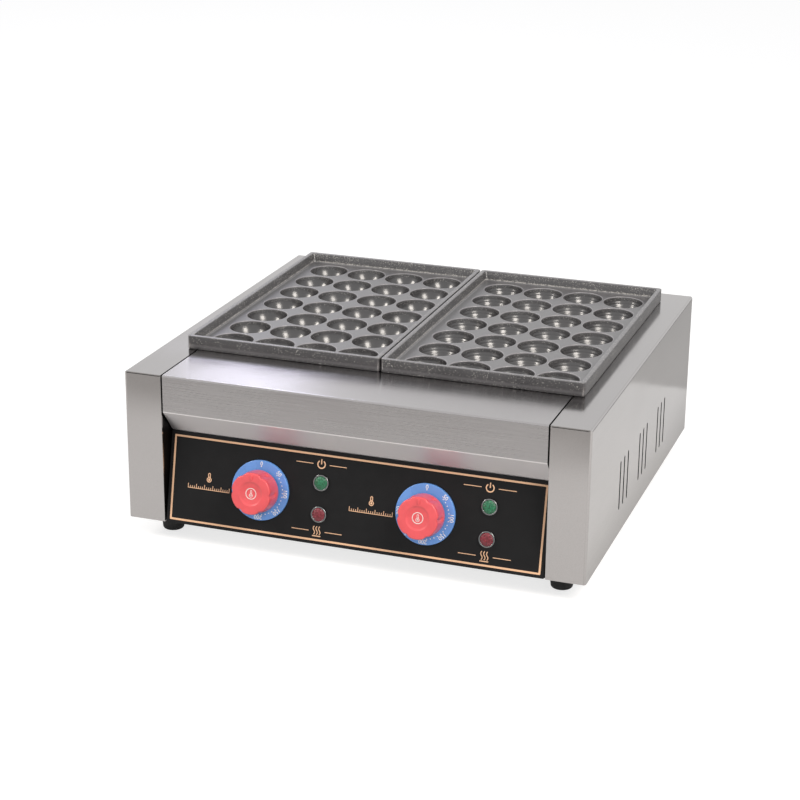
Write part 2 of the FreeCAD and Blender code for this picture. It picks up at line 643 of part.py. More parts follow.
def thermostat(x):
    """Thermostat body with its bush, screw holes and four terminal tabs."""
    back = CARRIER_BACK - THERMOSTAT_DEPTH
    middle = point(x, CONTROL_ROW, 0)
    corners = [corner + middle for corner in rectangle(THERMOSTAT_WIDTH, THERMOSTAT_HEIGHT, back)]
    body = prism(corners, [THERMOSTAT_CORNER_RADIUS] * 4, Z_AXIS * THERMOSTAT_DEPTH)
    bush = cylinder(BUSH_RADIUS, point(x, CONTROL_ROW, CARRIER_BACK), Z_AXIS, BUSH_HEIGHT)
    tabs = []
    for column in (-1, 1):
        for row in (-1, 1):
            tab_x = x + column * THERMOSTAT_WIDTH / 4
            tab_y = CONTROL_ROW + row * THERMOSTAT_HEIGHT / 4
            tabs.append(terminal_tab(tab_x, tab_y, back))
    bore_start = CARRIER_BACK - SPINDLE_SEAT - SEAT_GAP
    bore_length = SPINDLE_SEAT + SEAT_GAP + BUSH_HEIGHT + PAST
    holes = [cylinder(SPINDLE_RADIUS + SPINDLE_PLAY, point(x, CONTROL_ROW, bore_start), Z_AXIS, bore_length)]
    for place in thermostat_screw_places(x, CARRIER_BACK - SCREW_LENGTH):
        holes.append(cylinder(SCREW_RADIUS, place, Z_AXIS, SCREW_LENGTH + PAST))
    return on_panel(body.fuse([bush] + tabs).cut(holes))


def terminal_tab(x, y, foot):
    """Flat tab that stands behind a part whose rear face is at foot."""
    x_range = (x - TAB_THICKNESS / 2, x + TAB_THICKNESS / 2)
    return box(x_range, (y - TAB_WIDTH / 2, y + TAB_WIDTH / 2), (foot - TAB_LENGTH, foot))


def thermostat_screws():
    """Two screws for each thermostat, their heads on the carrier and under the dial."""
    screws = []
    for x in KNOB_XS:
        for head in thermostat_screw_places(x, -OVERLAY_THICKNESS):
            screws.append(on_panel(screw(head, Z_AXIS * -1, SCREW_LENGTH)))
    return Part.makeCompound(screws)


def lamp_centre(x, level, height):
    return point(x + LAMP_OFFSET, CONTROL_ROW + level * LAMP_PITCH / 2, height)


def lamp_bezel(x, level):
    """Ring round the lens."""
    inner = LENS_RADIUS + LENS_PLAY
    profile = [(inner, 0), (LAMP_BEZEL_RADIUS, 0), (LAMP_BEZEL_RADIUS, LAMP_BEZEL_HEIGHT)]
    profile.append((inner, LAMP_BEZEL_HEIGHT))
    ring = revolved(profile, [0, 0, LAMP_BEZEL_OUTER_RADIUS, LAMP_BEZEL_INNER_RADIUS])
    return on_panel(ring.translated(lamp_centre(x, level, 0)))


def lamp_lens(x, level):
    """Coloured disc on the lamp body, with a rounded edge."""
    profile = [(0, 0), (LENS_RADIUS, 0), (LENS_RADIUS, LENS_HEIGHT), (0, LENS_HEIGHT)]
    lens = revolved(profile, [0, 0, LENS_EDGE_RADIUS, 0])
    return on_panel(lens.translated(lamp_centre(x, level, 0)))


def lamp_body(x, level):
    """Barrel through the panel with two terminal tabs."""
    radius = LAMP_HOLE_RADIUS - SCREW_PLAY
    foot = lamp_centre(x, level, -LAMP_BODY_LENGTH)
    barrel = cylinder(radius, foot, Z_AXIS, LAMP_BODY_LENGTH)
    tabs = [terminal_tab(foot.x + side * radius / 2, foot.y, foot.z) for side in (-1, 1)]
    return on_panel(barrel.fuse(tabs))


def lamp_nuts():
    nuts = []
    for x in KNOB_XS:
        for level in LEVELS.values():
            start = lamp_centre(x, level, CARRIER_BACK - LAMP_NUT_THICKNESS)
            bore = LAMP_HOLE_RADIUS - SCREW_PLAY + SPINDLE_PLAY
            nuts.append(on_panel(nut(LAMP_NUT_WIDTH, bore, start, Z_AXIS, LAMP_NUT_THICKNESS)))
    return Part.makeCompound(nuts)


def cup_places():
    """Centres of one plate's cups from the plate's own middle."""
    places = []
    for column in range(CUP_COLUMNS):
        for row in range(CUP_ROWS):
            x = (column - (CUP_COLUMNS - 1) / 2) * CUP_PITCH
            y = (row - (CUP_ROWS - 1) / 2) * CUP_PITCH
            places.append(point(x, y, 0))
    return places


def cup_tile():
    """One cup with the square of floor round it, centred on the Z axis with the floor at Z = 0."""
    half = CUP_PITCH / 2
    square = box((-half, half), (-half, half), (-FLOOR_THICKNESS, 0))
    below = box((-half, half), (-half, half), (-2 * BULGE_SPHERE, -FLOOR_THICKNESS / 2))
    centre = point(0, 0, CUP_RISE)
    bulge = Part.makeSphere(BULGE_SPHERE, centre).common(below)
    tile = square.fuse(bulge).cut(Part.makeSphere(CUP_SPHERE, centre))
    lip = [e for e in tile.Edges if is_cup_edge(e)]
    return tile.makeFillet(CUP_LIP_RADIUS, lip)


def is_cup_edge(edge):
    if abs(edge.CenterOfMass.z) > TOLERANCE or not isinstance(edge.Curve, Part.Circle):
        return False
    return abs(edge.Curve.Radius - CUP_RADIUS) < TOLERANCE


def plate_rim():
    """The casting's border: rim wall on a strip of floor, round the block of cups."""
    radii = [PLATE_CORNER_RADIUS] * 4
    corners = rectangle(PLATE_WIDTH, PLATE_DEPTH, -FLOOR_THICKNESS)
    block = prism(corners, radii, Z_AXIS * (FLOOR_THICKNESS + RIM_HEIGHT))
    top_edges = [e for e in block.Edges if abs(e.CenterOfMass.z - RIM_HEIGHT) < TOLERANCE]
    block = block.makeFillet(RIM_EDGE_RADIUS, top_edges)
    narrow = 2 * (RIM_WIDTH + RIM_DRAFT)
    wide = 2 * RIM_WIDTH
    low = rounded_wire(rectangle(PLATE_WIDTH - narrow, PLATE_DEPTH - narrow, 0), radii)
    high = rounded_wire(rectangle(PLATE_WIDTH - wide, PLATE_DEPTH - wide, RIM_HEIGHT), radii)
    tray = Part.makeLoft([low, high], True)
    half_x = CUP_COLUMNS * CUP_PITCH / 2
    half_y = CUP_ROWS * CUP_PITCH / 2
    window = box((-half_x, half_x), (-half_y, half_y), (-FLOOR_THICKNESS - PAST, RIM_HEIGHT))
    return block.cut([tray, window])


def grill_plate(side):
    """Casting of one side as a border and one tile for each cup, which meet face to face."""
    tile = cup_tile()
    plate = Part.makeCompound([plate_rim()] + [tile.translated(place) for place in cup_places()])
    return plate.translated(point(side * PLATE_X, PLATE_Y, FLOOR_Z))


def heater_legs(side):
    """X of each leg, one under each column of cups."""
    middle = (HEATER_LEGS - 1) / 2
    return [side * PLATE_X + (leg - middle) * CUP_PITCH for leg in range(HEATER_LEGS)]


def heater_end_xs():
    """X of both ends of both elements."""
    ends = []
    for side in SIDES.values():
        legs = heater_legs(side)
        ends += [legs[0], legs[-1]]
    return ends


def heater(side):
    """Tubular element with a leg under each column of cups and both ends at the front."""
    legs = heater_legs(side)
    front = PAN_FRONT + PAN_SHEET + HEATER_RADIUS + HEATER_END_GAP
    rear = PAN_REAR - PAN_SHEET - HEATER_RADIUS - HEATER_END_GAP
    tail = PAN_FRONT - HEATER_TAIL
    corners = [point(legs[0], tail, HEATER_Z)]
    for i, (x, following) in enumerate(zip(legs, legs[1:])):
        turn_y = front if i % 2 else rear
        corners += [point(x, turn_y, HEATER_Z), point(following, turn_y, HEATER_Z)]
    corners.append(point(legs[-1], tail, HEATER_Z))
    rod = tube(corners, CUP_PITCH / 2 - HEATER_BEND_TRIM, HEATER_RADIUS)
    pins = []
    for x in (legs[0], legs[-1]):
        start = point(x, tail - HEATER_PIN_LENGTH, HEATER_Z)
        pins.append(cylinder(HEATER_PIN_RADIUS, start, Y_AXIS, HEATER_PIN_LENGTH + PAST))
    return rod.fuse(pins)


def heater_combs():
    """Two notched strips under each element, with a foot on the pan's floor."""
    combs = []
    for side in SIDES.values():
        for y in COMB_YS:
            combs.append(heater_comb(side, y))
    return Part.makeCompound(combs)


def heater_comb(side, y):
    """The front comb also has the hole that carries the sensor's bulb."""
    legs = heater_legs(side)
    x_range = (legs[0] - COMB_MARGIN, legs[-1] + COMB_MARGIN)
    strip = box(x_range, (y, y + COMB_THICKNESS), (PAN_FLOOR, HEATER_Z + HEATER_RADIUS / 2))
    foot = box(x_range, (y, y + COMB_FOOT), (PAN_FLOOR, PAN_FLOOR + COMB_THICKNESS))
    radius = HEATER_RADIUS + SCREW_PLAY
    notch_y = (y - PAST, y + COMB_THICKNESS + PAST)
    cutters = []
    for x in legs:
        cutters.append(through_hole(radius, point(x, y, HEATER_Z), Y_AXIS, COMB_THICKNESS))
        cutters.append(box((x - radius, x + radius), notch_y, (HEATER_Z, HEATER_Z + HEATER_RADIUS)))
    if y == COMB_YS[0]:
        cutters.append(through_hole(SENSOR_RADIUS + SCREW_PLAY, bulb_centre(side, y), Y_AXIS, COMB_THICKNESS))
    return strip.fuse(foot).cut(cutters)


def heater_nuts():
    """Two nuts on each end of the elements, which clamp it in the pan's front wall."""
    nuts = []
    for x in heater_end_xs():
        for y in (PAN_FRONT - HEATER_NUT_THICKNESS, PAN_FRONT + PAN_SHEET):
            start = point(x, y, HEATER_Z)
            bore = HEATER_RADIUS + SPINDLE_PLAY
            nuts.append(nut(HEATER_NUT_WIDTH, bore, start, Y_AXIS, HEATER_NUT_THICKNESS))
    return Part.makeCompound(nuts)


def heat_shield():
    """Pan under both elements, hung by lips under the deck and the rear ledge."""
    top = DECK_UNDERSIDE
    inside_x = PAN_X - PAN_SHEET
    inside_y = (PAN_FRONT + PAN_SHEET, PAN_REAR - PAN_SHEET)
    block = box((-PAN_X, PAN_X), (PAN_FRONT, PAN_REAR), (PAN_BOTTOM, top))
    hollow = box((-inside_x, inside_x), inside_y, (PAN_FLOOR, top + PAST))
    side_y = (PAN_FRONT - PAST, PAN_REAR + PAST)
    side_top = box((inside_x, PAN_X + PAST), side_y, (top - PAN_SIDE_DROP, top + PAST))
    lip_x = (-PAN_X + PAN_LIP_INSET, PAN_X - PAN_LIP_INSET)
    lip_z = (top - PAN_SHEET, top)
    lips = [
        box(lip_x, (PAN_FRONT - PAN_LIP, inside_y[0]), lip_z),
        box(lip_x, (inside_y[1], PAN_REAR + PAN_LIP), lip_z),
    ]
    holes = []
    for x in heater_end_xs():
        place = point(x, PAN_FRONT, HEATER_Z)
        holes.append(through_hole(HEATER_RADIUS + SCREW_PLAY, place, Y_AXIS, PAN_SHEET))
    for side in SIDES.values():
        place = bulb_centre(side, PAN_FRONT)
        holes.append(through_hole(CAPILLARY_RADIUS + CAPILLARY_PLAY, place, Y_AXIS, PAN_SHEET))
    return block.cut([hollow, side_top, mirrored(side_top)]).fuse(lips).cut(holes).removeSplitter()


def centre_divider():
    """Upside-down channel that stands in the pan and carries the plates' inner rims."""
    half = DIVIDER_WIDTH / 2
    front = OPENING_FRONT + SEAT_GAP
    rear = OPENING_REAR - SEAT_GAP
    block = box((-half, half), (front, rear), (PAN_FLOOR, BODY_HEIGHT))
    hollow_z = (PAN_FLOOR - PAST, DECK_UNDERSIDE)
    return block.cut(box((-half + SHEET, half - SHEET), (front - PAST, rear + PAST), hollow_z))


def foot_places():
    x = BODY_WIDTH / 2 - FOOT_SIDE_INSET
    rear = BODY_DEPTH - FOOT_END_INSET
    return {
        "front_left_foot": (-x, FOOT_END_INSET),
        "front_right_foot": (x, FOOT_END_INSET),
        "rear_left_foot": (-x, rear),
        "rear_right_foot": (x, rear),
    }


def foot(x, y):
    """Tapered rubber foot under the base, with a socket for the screw's head."""
    top = FOOT_HEIGHT + BASE_BOTTOM
    profile = [
        (FOOT_SOCKET_RADIUS, 0),
        (FOOT_BOTTOM_RADIUS, 0),
        (FOOT_TOP_RADIUS, top),
        (FOOT_BORE_RADIUS, top),
        (FOOT_BORE_RADIUS, FOOT_SOCKET_DEPTH),
        (FOOT_SOCKET_RADIUS, FOOT_SOCKET_DEPTH),
    ]
    body = revolved(profile, [0, FOOT_EDGE_RADIUS, 0, 0, 0, 0])
    return body.translated(point(x, y, -FOOT_HEIGHT))


def foot_screws():
    """Long screws through the feet into the nuts on the base plate."""
    length = FOOT_HEIGHT - FOOT_SOCKET_DEPTH + BASE_TOP + NUT_THICKNESS + FOOT_SCREW_END
    heads = [point(x, y, FOOT_SOCKET_DEPTH - FOOT_HEIGHT) for x, y in foot_places().values()]
    return Part.makeCompound([screw(head, Z_AXIS, length) for head in heads])


def foot_nuts():
    places = [point(x, y, BASE_TOP) for x, y in foot_places().values()]
    bore = SCREW_RADIUS + SPINDLE_PLAY
    return Part.makeCompound([nut(NUT_WIDTH, bore, place, Z_AXIS, NUT_THICKNESS) for place in places])


def base_plate():
    """Bottom cover on the flanges of the casings, the control panel and the rear cover."""
    half = BODY_WIDTH / 2 - SHEET - SEAT_GAP
    y_range = (CARRIER_FOOT_Y + BASE_EDGE_GAP, BODY_DEPTH - BASE_EDGE_GAP)
    cover = box((-half, half), y_range, (BASE_BOTTOM, BASE_TOP))
    notch_y = (0, CASING_RETURN + SEAT_GAP)
    notch = box((PANEL_X, half + PAST), notch_y, (BASE_BOTTOM - PAST, BASE_TOP + PAST))
    cutters = [notch, mirrored(notch)]
    for x, y in foot_places().values():
        cutters.append(through_hole(SCREW_HOLE_RADIUS, point(x, y, BASE_BOTTOM), Z_AXIS, SHEET))
    for x, y in base_screw_places():
        for side in SIDES.values():
            cutters.append(through_hole(SCREW_RADIUS, point(side * x, y, BASE_BOTTOM), Z_AXIS, SHEET))
    return cover.cut(cutters)


def base_screw_places():
    """X and Y of the screws through the right-hand casing's bottom flange."""
    x = BODY_WIDTH / 2 - (CASING_FLANGE + SHEET) / 2
    middle = BODY_DEPTH / 2
    reach = middle - 2 * FOOT_END_INSET
    return [(x, middle - reach), (x, middle), (x, middle + reach)]


def base_screws():
    screws = []
    for x, y in base_screw_places():
        for side in SIDES.values():
            screws.append(screw(point(side * x, y, 0), Z_AXIS, SCREW_LENGTH))
    return Part.makeCompound(screws)


def gland_centre(y):
    return point(INLET_X, y, INLET_LIFT)


def cable_gland():
    """Cable gland: barrel through the rear cover, a hexagon and a domed cap with the cable's bore."""
    inside = CASING_DEPTH - GLAND_NUT_THICKNESS - GLAND_THREAD_END
    barrel = cylinder(GLAND_RADIUS, gland_centre(inside), Y_AXIS, BODY_DEPTH - inside)
    flange = hexagon(GLAND_WIDTH, gland_centre(BODY_DEPTH), Y_AXIS, GLAND_FLANGE)
    dome_end = GLAND_BORE_RADIUS + GLAND_DOME_WALL
    profile = [(0, 0), (GLAND_WIDTH / 2 - PAST, 0), (dome_end, GLAND_DOME), (0, GLAND_DOME)]
    dome = revolved(profile, [0, 0, GLAND_DOME_RADIUS, 0])
    turn = FreeCAD.Rotation(Z_AXIS, Y_AXIS)
    dome.Placement = FreeCAD.Placement(gland_centre(BODY_DEPTH + GLAND_FLANGE), turn)
    length = BODY_DEPTH + GLAND_FLANGE + GLAND_DOME - inside
    bore = through_hole(GLAND_BORE_RADIUS, gland_centre(inside), Y_AXIS, length)
    return barrel.fuse([flange, dome]).cut(bore)


def gland_locknut():
    start = gland_centre(CASING_DEPTH - GLAND_NUT_THICKNESS)
    return nut(GLAND_NUT_WIDTH, GLAND_RADIUS + SPINDLE_PLAY, start, Y_AXIS, GLAND_NUT_THICKNESS)


def stud_centre(y):
    return point(INLET_X + STUD_OFFSET, y, INLET_LIFT)


def earth_stud():
    """Screw with its head inside the rear cover and its thread outside, and a thinner tip for a clip."""
    start = stud_centre(CASING_DEPTH - STUD_NUT_THICKNESS)
    head = hexagon(STUD_NUT_WIDTH, start, Y_AXIS, STUD_NUT_THICKNESS)
    rod = cylinder(STUD_RADIUS, start, Y_AXIS, STUD_THREAD_END - start.y)
    taper = Part.makeCone(STUD_RADIUS, STUD_TIP_RADIUS, STUD_TAPER, stud_centre(STUD_THREAD_END), Y_AXIS)
    tip = cylinder(STUD_TIP_RADIUS, stud_centre(STUD_THREAD_END + STUD_TAPER), Y_AXIS, STUD_TIP_LENGTH)
    return head.fuse([rod, taper, tip])


def earth_nuts():
    """Fixing nut on the rear cover and terminal nut on it."""
    nuts = []
    for y in (BODY_DEPTH, BODY_DEPTH + STUD_NUT_THICKNESS):
        bore = STUD_RADIUS + SPINDLE_PLAY
        nuts.append(nut(STUD_NUT_WIDTH, bore, stud_centre(y), Y_AXIS, STUD_NUT_THICKNESS))
    return Part.makeCompound(nuts)


def terminal_places():
    """Centres of the terminal wells on the block's top."""
    places = []
    middle_y = BODY_DEPTH - TERMINAL_SETBACK
    for pole in range(TERMINAL_POLES):
        x = INLET_X + ((pole + 0.5) / TERMINAL_POLES - 0.5) * TERMINAL_WIDTH
        for side in (-1, 1):
            places.append(point(x, middle_y + side * TERMINAL_DEPTH / 4, BASE_TOP + TERMINAL_HEIGHT))
    return places


def terminal_block():
    """Ceramic block on the base plate behind the inlet."""
    corners = rectangle(TERMINAL_WIDTH, TERMINAL_DEPTH, 0)
    block = prism(corners, [0] * 4, Z_AXIS * TERMINAL_HEIGHT)
    block.translate(point(INLET_X, BODY_DEPTH - TERMINAL_SETBACK, BASE_TOP))
    wells = []
    for place in terminal_places():
        wells.append(cylinder(TERMINAL_WELL_RADIUS, place, Z_AXIS * -1, TERMINAL_WELL_DEPTH))
    return block.cut(wells)


def terminal_screws():
    """Clamping screws on the wells' floors."""
    screws = []
    for place in terminal_places():
        foot_at = place - Z_AXIS * TERMINAL_WELL_DEPTH
        screws.append(cylinder(TERMINAL_SCREW_RADIUS, foot_at, Z_AXIS, TERMINAL_SCREW_LENGTH))
    return Part.makeCompound(screws)


def bulb_centre(side, y):
    """A point on the bulb's axis, midway between the element's first two legs."""
    legs = heater_legs(side)
    return point((legs[0] + legs[1]) / 2, y, HEATER_Z - BULB_DROP)


def sensor(side, x):
    """Capillary tube from the thermostat's rear into the pan, with the bulb carried by the front comb."""
    back = CARRIER_BACK - THERMOSTAT_DEPTH
    start = on_panel(Part.Vertex(x, CONTROL_ROW, back)).Point
    lead = on_panel(Part.Vertex(x, CONTROL_ROW, back - CAPILLARY_LEAD)).Point
    bulb_start = COMB_YS[0] - BULB_LEAD
    corner = bulb_centre(side, lead.y + CAPILLARY_SLANT)
    route = [start, lead, corner, bulb_centre(side, bulb_start + PAST)]
    thin = tube(route, CAPILLARY_BEND, CAPILLARY_RADIUS)
    return thin.fuse(cylinder(SENSOR_RADIUS, bulb_centre(side, bulb_start), Y_AXIS, SENSOR_LENGTH))


def build_body():
    nodes["right_side_casing"] = side_casing()
    nodes["left_side_casing"] = mirrored(nodes["right_side_casing"])
    nodes["front_top_panel"] = front_top_panel()
    nodes["control_panel"] = control_panel()
    nodes["panel_overlay"] = panel_overlay()
    nodes["rear_ledge"] = rear_ledge()
    nodes["rear_cover"] = rear_cover()
    nodes["rear_screws"] = rear_screws()
    nodes["base_plate"] = base_plate()
    nodes["base_screws"] = base_screws()
    nodes["foot_screws"] = foot_screws()
    nodes["foot_nuts"] = foot_nuts()
    for name, (x, y) in foot_places().items():
        nodes[name] = foot(x, y)


def build_inside():
    nodes["heat_shield"] = heat_shield()
    nodes["centre_divider"] = centre_divider()
    nodes["heater_combs"] = heater_combs()
    nodes["heater_nuts"] = heater_nuts()
    nodes["lamp_nuts"] = lamp_nuts()
    nodes["thermostat_screws"] = thermostat_screws()
    nodes["cable_gland"] = cable_gland()
    nodes["gland_locknut"] = gland_locknut()
    nodes["earth_stud"] = earth_stud()
    nodes["earth_nuts"] = earth_nuts()
    nodes["terminal_block"] = terminal_block()
    nodes["terminal_screws"] = terminal_screws()


def build_side(hand, x):
    """Everything there is one of for each plate. x is the knob's place."""
    side = SIDES[hand]
    nodes[f"{hand}_grill_plate"] = grill_plate(side)
    nodes[f"{hand}_heater"] = heater(side)
    nodes[f"{hand}_sensor"] = sensor(side, x)
    nodes[f"{hand}_thermostat"] = thermostat(x)
    nodes[f"{hand}_spindle"] = spindle(x)
    nodes[f"{hand}_knob"] = knob(x)
    nodes[f"{hand}_dial_plate"] = dial_plate(x)
    for purpose, level in LEVELS.items():
        nodes[f"{hand}_{purpose}_lamp_bezel"] = lamp_bezel(x, level)
        nodes[f"{hand}_{purpose}_lamp_lens"] = lamp_lens(x, level)
        nodes[f"{hand}_{purpose}_lamp_body"] = lamp_body(x, level)


def origin_shift():
    """The move that puts the origin under the machine's middle, on the surface it stands on."""
    limits = FreeCAD.BoundBox()
    for shape in nodes.values():
        limits.add(shape.BoundBox)
    return point(-limits.Center.x, -limits.Center.y, -limits.ZMin)


def write_nodes():
    shift = origin_shift()
    os.makedirs("parts", exist_ok=True)
    for name, shape in nodes.items():
        shape.translated(shift).exportStep(f"parts/{name}.step")


build_body()
build_inside()
build_side("left", KNOB_XS[0])
build_side("right", KNOB_XS[1])
write_nodes()
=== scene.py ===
import json
import math
import bmesh
import bpy
from bpy.props import FloatProperty, FloatVectorProperty, IntProperty, PointerProperty
from mathutils import Matrix, Vector


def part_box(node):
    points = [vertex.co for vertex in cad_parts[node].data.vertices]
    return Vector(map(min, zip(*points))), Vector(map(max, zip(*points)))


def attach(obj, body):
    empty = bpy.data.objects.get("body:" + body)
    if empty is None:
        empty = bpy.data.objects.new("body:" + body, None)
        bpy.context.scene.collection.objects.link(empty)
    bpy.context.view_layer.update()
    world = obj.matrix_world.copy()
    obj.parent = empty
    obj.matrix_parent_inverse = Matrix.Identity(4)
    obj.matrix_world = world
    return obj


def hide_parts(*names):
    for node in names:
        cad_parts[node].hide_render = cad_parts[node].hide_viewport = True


bl_info = {
    "name": "Takoyaki maker finishes",
    "version": (1, 0, 0),
    "blender": (4, 5, 0),
    "location": "View3D > Sidebar > Takoyaki",
    "description": "Builds the cup plates, knobs, scales, lamps, finishes and stage round the packed frame",
    "category": "Object",
}

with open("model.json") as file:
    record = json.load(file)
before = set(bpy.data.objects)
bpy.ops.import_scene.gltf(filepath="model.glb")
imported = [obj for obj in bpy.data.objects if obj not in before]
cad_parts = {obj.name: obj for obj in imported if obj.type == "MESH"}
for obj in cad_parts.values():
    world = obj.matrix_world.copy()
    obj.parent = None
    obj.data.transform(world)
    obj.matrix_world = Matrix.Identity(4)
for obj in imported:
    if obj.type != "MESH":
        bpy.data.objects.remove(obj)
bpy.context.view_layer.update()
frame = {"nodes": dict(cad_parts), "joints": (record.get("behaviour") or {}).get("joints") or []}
NODES = frame["nodes"]
JOINTS = {joint["name"]: joint for joint in frame["joints"]}
HANDS = ("left", "right")
LAMP_COLOURS = {"power": "green", "heat": "red"}
MM = 0.001


def linear(hex_colour):
    """Linear RGB of an sRGB hex colour such as 'C8C6C2'."""
    channels = [int(hex_colour[i:i + 2], 16) / 255 for i in (0, 2, 4)]
    return tuple(c / 12.92 if c <= 0.04045 else ((c + 0.055) / 1.055) ** 2.4 for c in channels)


# ---------------------------------------------------------------- sizes and colours

class TakoyakiPlateSizes(bpy.types.PropertyGroup):
    columns: IntProperty(name="Columns", description="Cups across one plate", default=4, min=1)
    rows: IntProperty(name="Rows", description="Cups from front to rear", default=7, min=1)
    pitch: FloatProperty(name="Pitch", description="Centre to centre of two cups", default=0.045,
                         unit="LENGTH", precision=4)
    cup_radius: FloatProperty(name="Cup radius", description="Radius of a cup at the floor",
                              default=0.0212, unit="LENGTH", precision=4)
    cup_depth: FloatProperty(name="Cup depth", description="Depth of a cup under the floor",
                             default=0.02014, unit="LENGTH", precision=4)
    cup_wall: FloatProperty(name="Cup wall", description="Thickness of the casting under a cup",
                            default=0.0027, unit="LENGTH", precision=4)
    lip: FloatProperty(name="Lip radius", description="Rounding of a cup's edge", default=0.0006,
                       unit="LENGTH", precision=4)
    floor: FloatProperty(name="Floor thickness", description="Thickness between the cups",
                         default=0.0037, unit="LENGTH", precision=4)
    rim_height: FloatProperty(name="Rim height", description="From the floor to the rim's top",
                              default=0.0104, unit="LENGTH", precision=4)
    rim_width: FloatProperty(name="Rim width", description="Width of the rim's top", default=0.0046,
                             unit="LENGTH", precision=4)
    rim_draft: FloatProperty(name="Rim draft", description="How much wider the rim is at its foot",
                             default=0.002, unit="LENGTH", precision=4)
    corner: FloatProperty(name="Corner radius", description="Upright corners of the casting",
                          default=0.003, unit="LENGTH", precision=4)


class TakoyakiKnobSizes(bpy.types.PropertyGroup):
    lift: FloatProperty(name="Lift", description="Knob's foot over the label's face", default=0.0056,
                        unit="LENGTH", precision=4)
    radius: FloatProperty(name="Radius", description="Radius of the skirt", default=0.0209,
                          unit="LENGTH", precision=4)
    face_radius: FloatProperty(name="Face radius", description="Radius of the grip at its face",
                               default=0.0205, unit="LENGTH", precision=4)
    height: FloatProperty(name="Height", description="From the foot to the face", default=0.0209,
                          unit="LENGTH", precision=4)
    lobes: IntProperty(name="Lobes", description="Lobes round the grip", default=6, min=3)
    hollow: FloatProperty(name="Hollow depth", description="Depth of the hollows between the lobes",
                          default=0.0014, unit="LENGTH", precision=4)
    dish_radius: FloatProperty(name="Dish radius", description="Radius of the dish in the face",
                               default=0.012, unit="LENGTH", precision=4)
    dish_depth: FloatProperty(name="Dish depth", description="Depth of the dish in the face",
                              default=0.0016, unit="LENGTH", precision=4)


class TakoyakiLabelSizes(bpy.types.PropertyGroup):
    scale_radius: FloatProperty(name="Dot radius", description="Radius of the row of dots on a scale",
                                default=0.0239, unit="LENGTH", precision=4)
    number_radius: FloatProperty(name="Number radius", description="Radius of the row of numbers",
                                 default=0.0265, unit="LENGTH", precision=4)
    number_height: FloatProperty(name="Number height", description="Height of the scale's digits",
                                 default=0.0041, unit="LENGTH", precision=4)
    first_angle: FloatProperty(name="First angle", description="Clockwise from the top to the number 50",
                               default=math.radians(45), subtype="ANGLE", unit="ROTATION")
    step_angle: FloatProperty(name="Step", description="From one number to the next",
                              default=math.radians(45), subtype="ANGLE", unit="ROTATION")
    frame_inset: FloatProperty(name="Frame inset", description="From the label's edge to the gold line",
                               default=0.0034, unit="LENGTH", precision=4)
    frame_top_inset: FloatProperty(name="Frame top inset", description="The same along the label's top",
                                   default=0.0041, unit="LENGTH", precision=4)
    frame_line: FloatProperty(name="Frame line", description="Width of the gold line", default=0.0019,
                              unit="LENGTH", precision=4)
    ink: FloatProperty(name="Ink thickness", description="How far print stands proud", default=0.00005,
                       unit="LENGTH", precision=5)


class TakoyakiSheetSizes(bpy.types.PropertyGroup):
    fascia: FloatProperty(name="Fascia", description="From the deck's top to the fold over the chin",
                          default=0.038, unit="LENGTH", precision=4)
    # seam is the width of the painted shadow line at each end of a sheet
    seam: FloatProperty(name="Seam", description="Width of the dark line at the sheet's ends",
                        default=0.0009, unit="LENGTH", precision=4)


class TakoyakiColours(bpy.types.PropertyGroup):
    steel: FloatVectorProperty(name="Casing steel", description="Reflection of the satin casings", size=3,
                               subtype="COLOR", min=0, max=1, default=linear("B6B3B2"))
    top_steel: FloatVectorProperty(name="Top steel", description="Reflection of the brushed top and front",
                                   size=3, subtype="COLOR", min=0, max=1, default=linear("B0ADAD"))
    coating: FloatVectorProperty(name="Coating", description="Non-stick coating of the plates", size=3,
                                 subtype="COLOR", min=0, max=1, default=linear("4C4B4D"))
    knob: FloatVectorProperty(name="Knob", description="Moulded knobs", size=3, subtype="COLOR",
                              min=0, max=1, default=linear("E9575D"))
    scale: FloatVectorProperty(name="Scale", description="Moulded scales under the knobs", size=3,
                               subtype="COLOR", min=0, max=1, default=linear("669AE2"))
    label: FloatVectorProperty(name="Label", description="Ground of the control label", size=3,
                               subtype="COLOR", min=0, max=1, default=linear("1C1C1D"))
    gold: FloatVectorProperty(name="Gold ink", description="Frame line and signs", size=3,
                              subtype="COLOR", min=0, max=1, default=linear("F4C6A0"))


class TakoyakiStage(bpy.types.PropertyGroup):
    sky: FloatProperty(name="Sky", description="Strength of the even light from all sides",
                       default=0.55, min=0)
    key: FloatProperty(name="Key lamp", description="Power of the tall soft box at the front right",
                       default=28, subtype="POWER", unit="POWER")
    fill: FloatProperty(name="Fill lamp", description="Power of the smaller soft box at the left",
                        default=13, subtype="POWER", unit="POWER")
    rear: FloatProperty(name="Rear lamp", description="Power of the strip behind the left side",
                        default=7.5, subtype="POWER", unit="POWER")
    azimuth: FloatProperty(name="Azimuth", description="Camera to the right of straight in front",
                           default=math.radians(19.187), subtype="ANGLE", unit="ROTATION")
    elevation: FloatProperty(name="Elevation", description="Camera over the horizon",
                             default=math.radians(19.736), subtype="ANGLE", unit="ROTATION")
    roll: FloatProperty(name="Roll", description="Camera turned about its own axis",
                        default=math.radians(0.554), subtype="ANGLE", unit="ROTATION")
    distance: FloatProperty(name="Distance", description="Camera to its target", default=2.07281,
                            unit="LENGTH")
    lens: FloatProperty(name="Lens", description="Focal length on a 36 mm sensor", default=90.586,
                        unit="CAMERA")


class TakoyakiSettings(bpy.types.PropertyGroup):
    plate: PointerProperty(type=TakoyakiPlateSizes)
    knob: PointerProperty(type=TakoyakiKnobSizes)
    label: PointerProperty(type=TakoyakiLabelSizes)
    sheet: PointerProperty(type=TakoyakiSheetSizes)
    colours: PointerProperty(type=TakoyakiColours)
    stage: PointerProperty(type=TakoyakiStage)


# ---------------------------------------------------------------- meshes

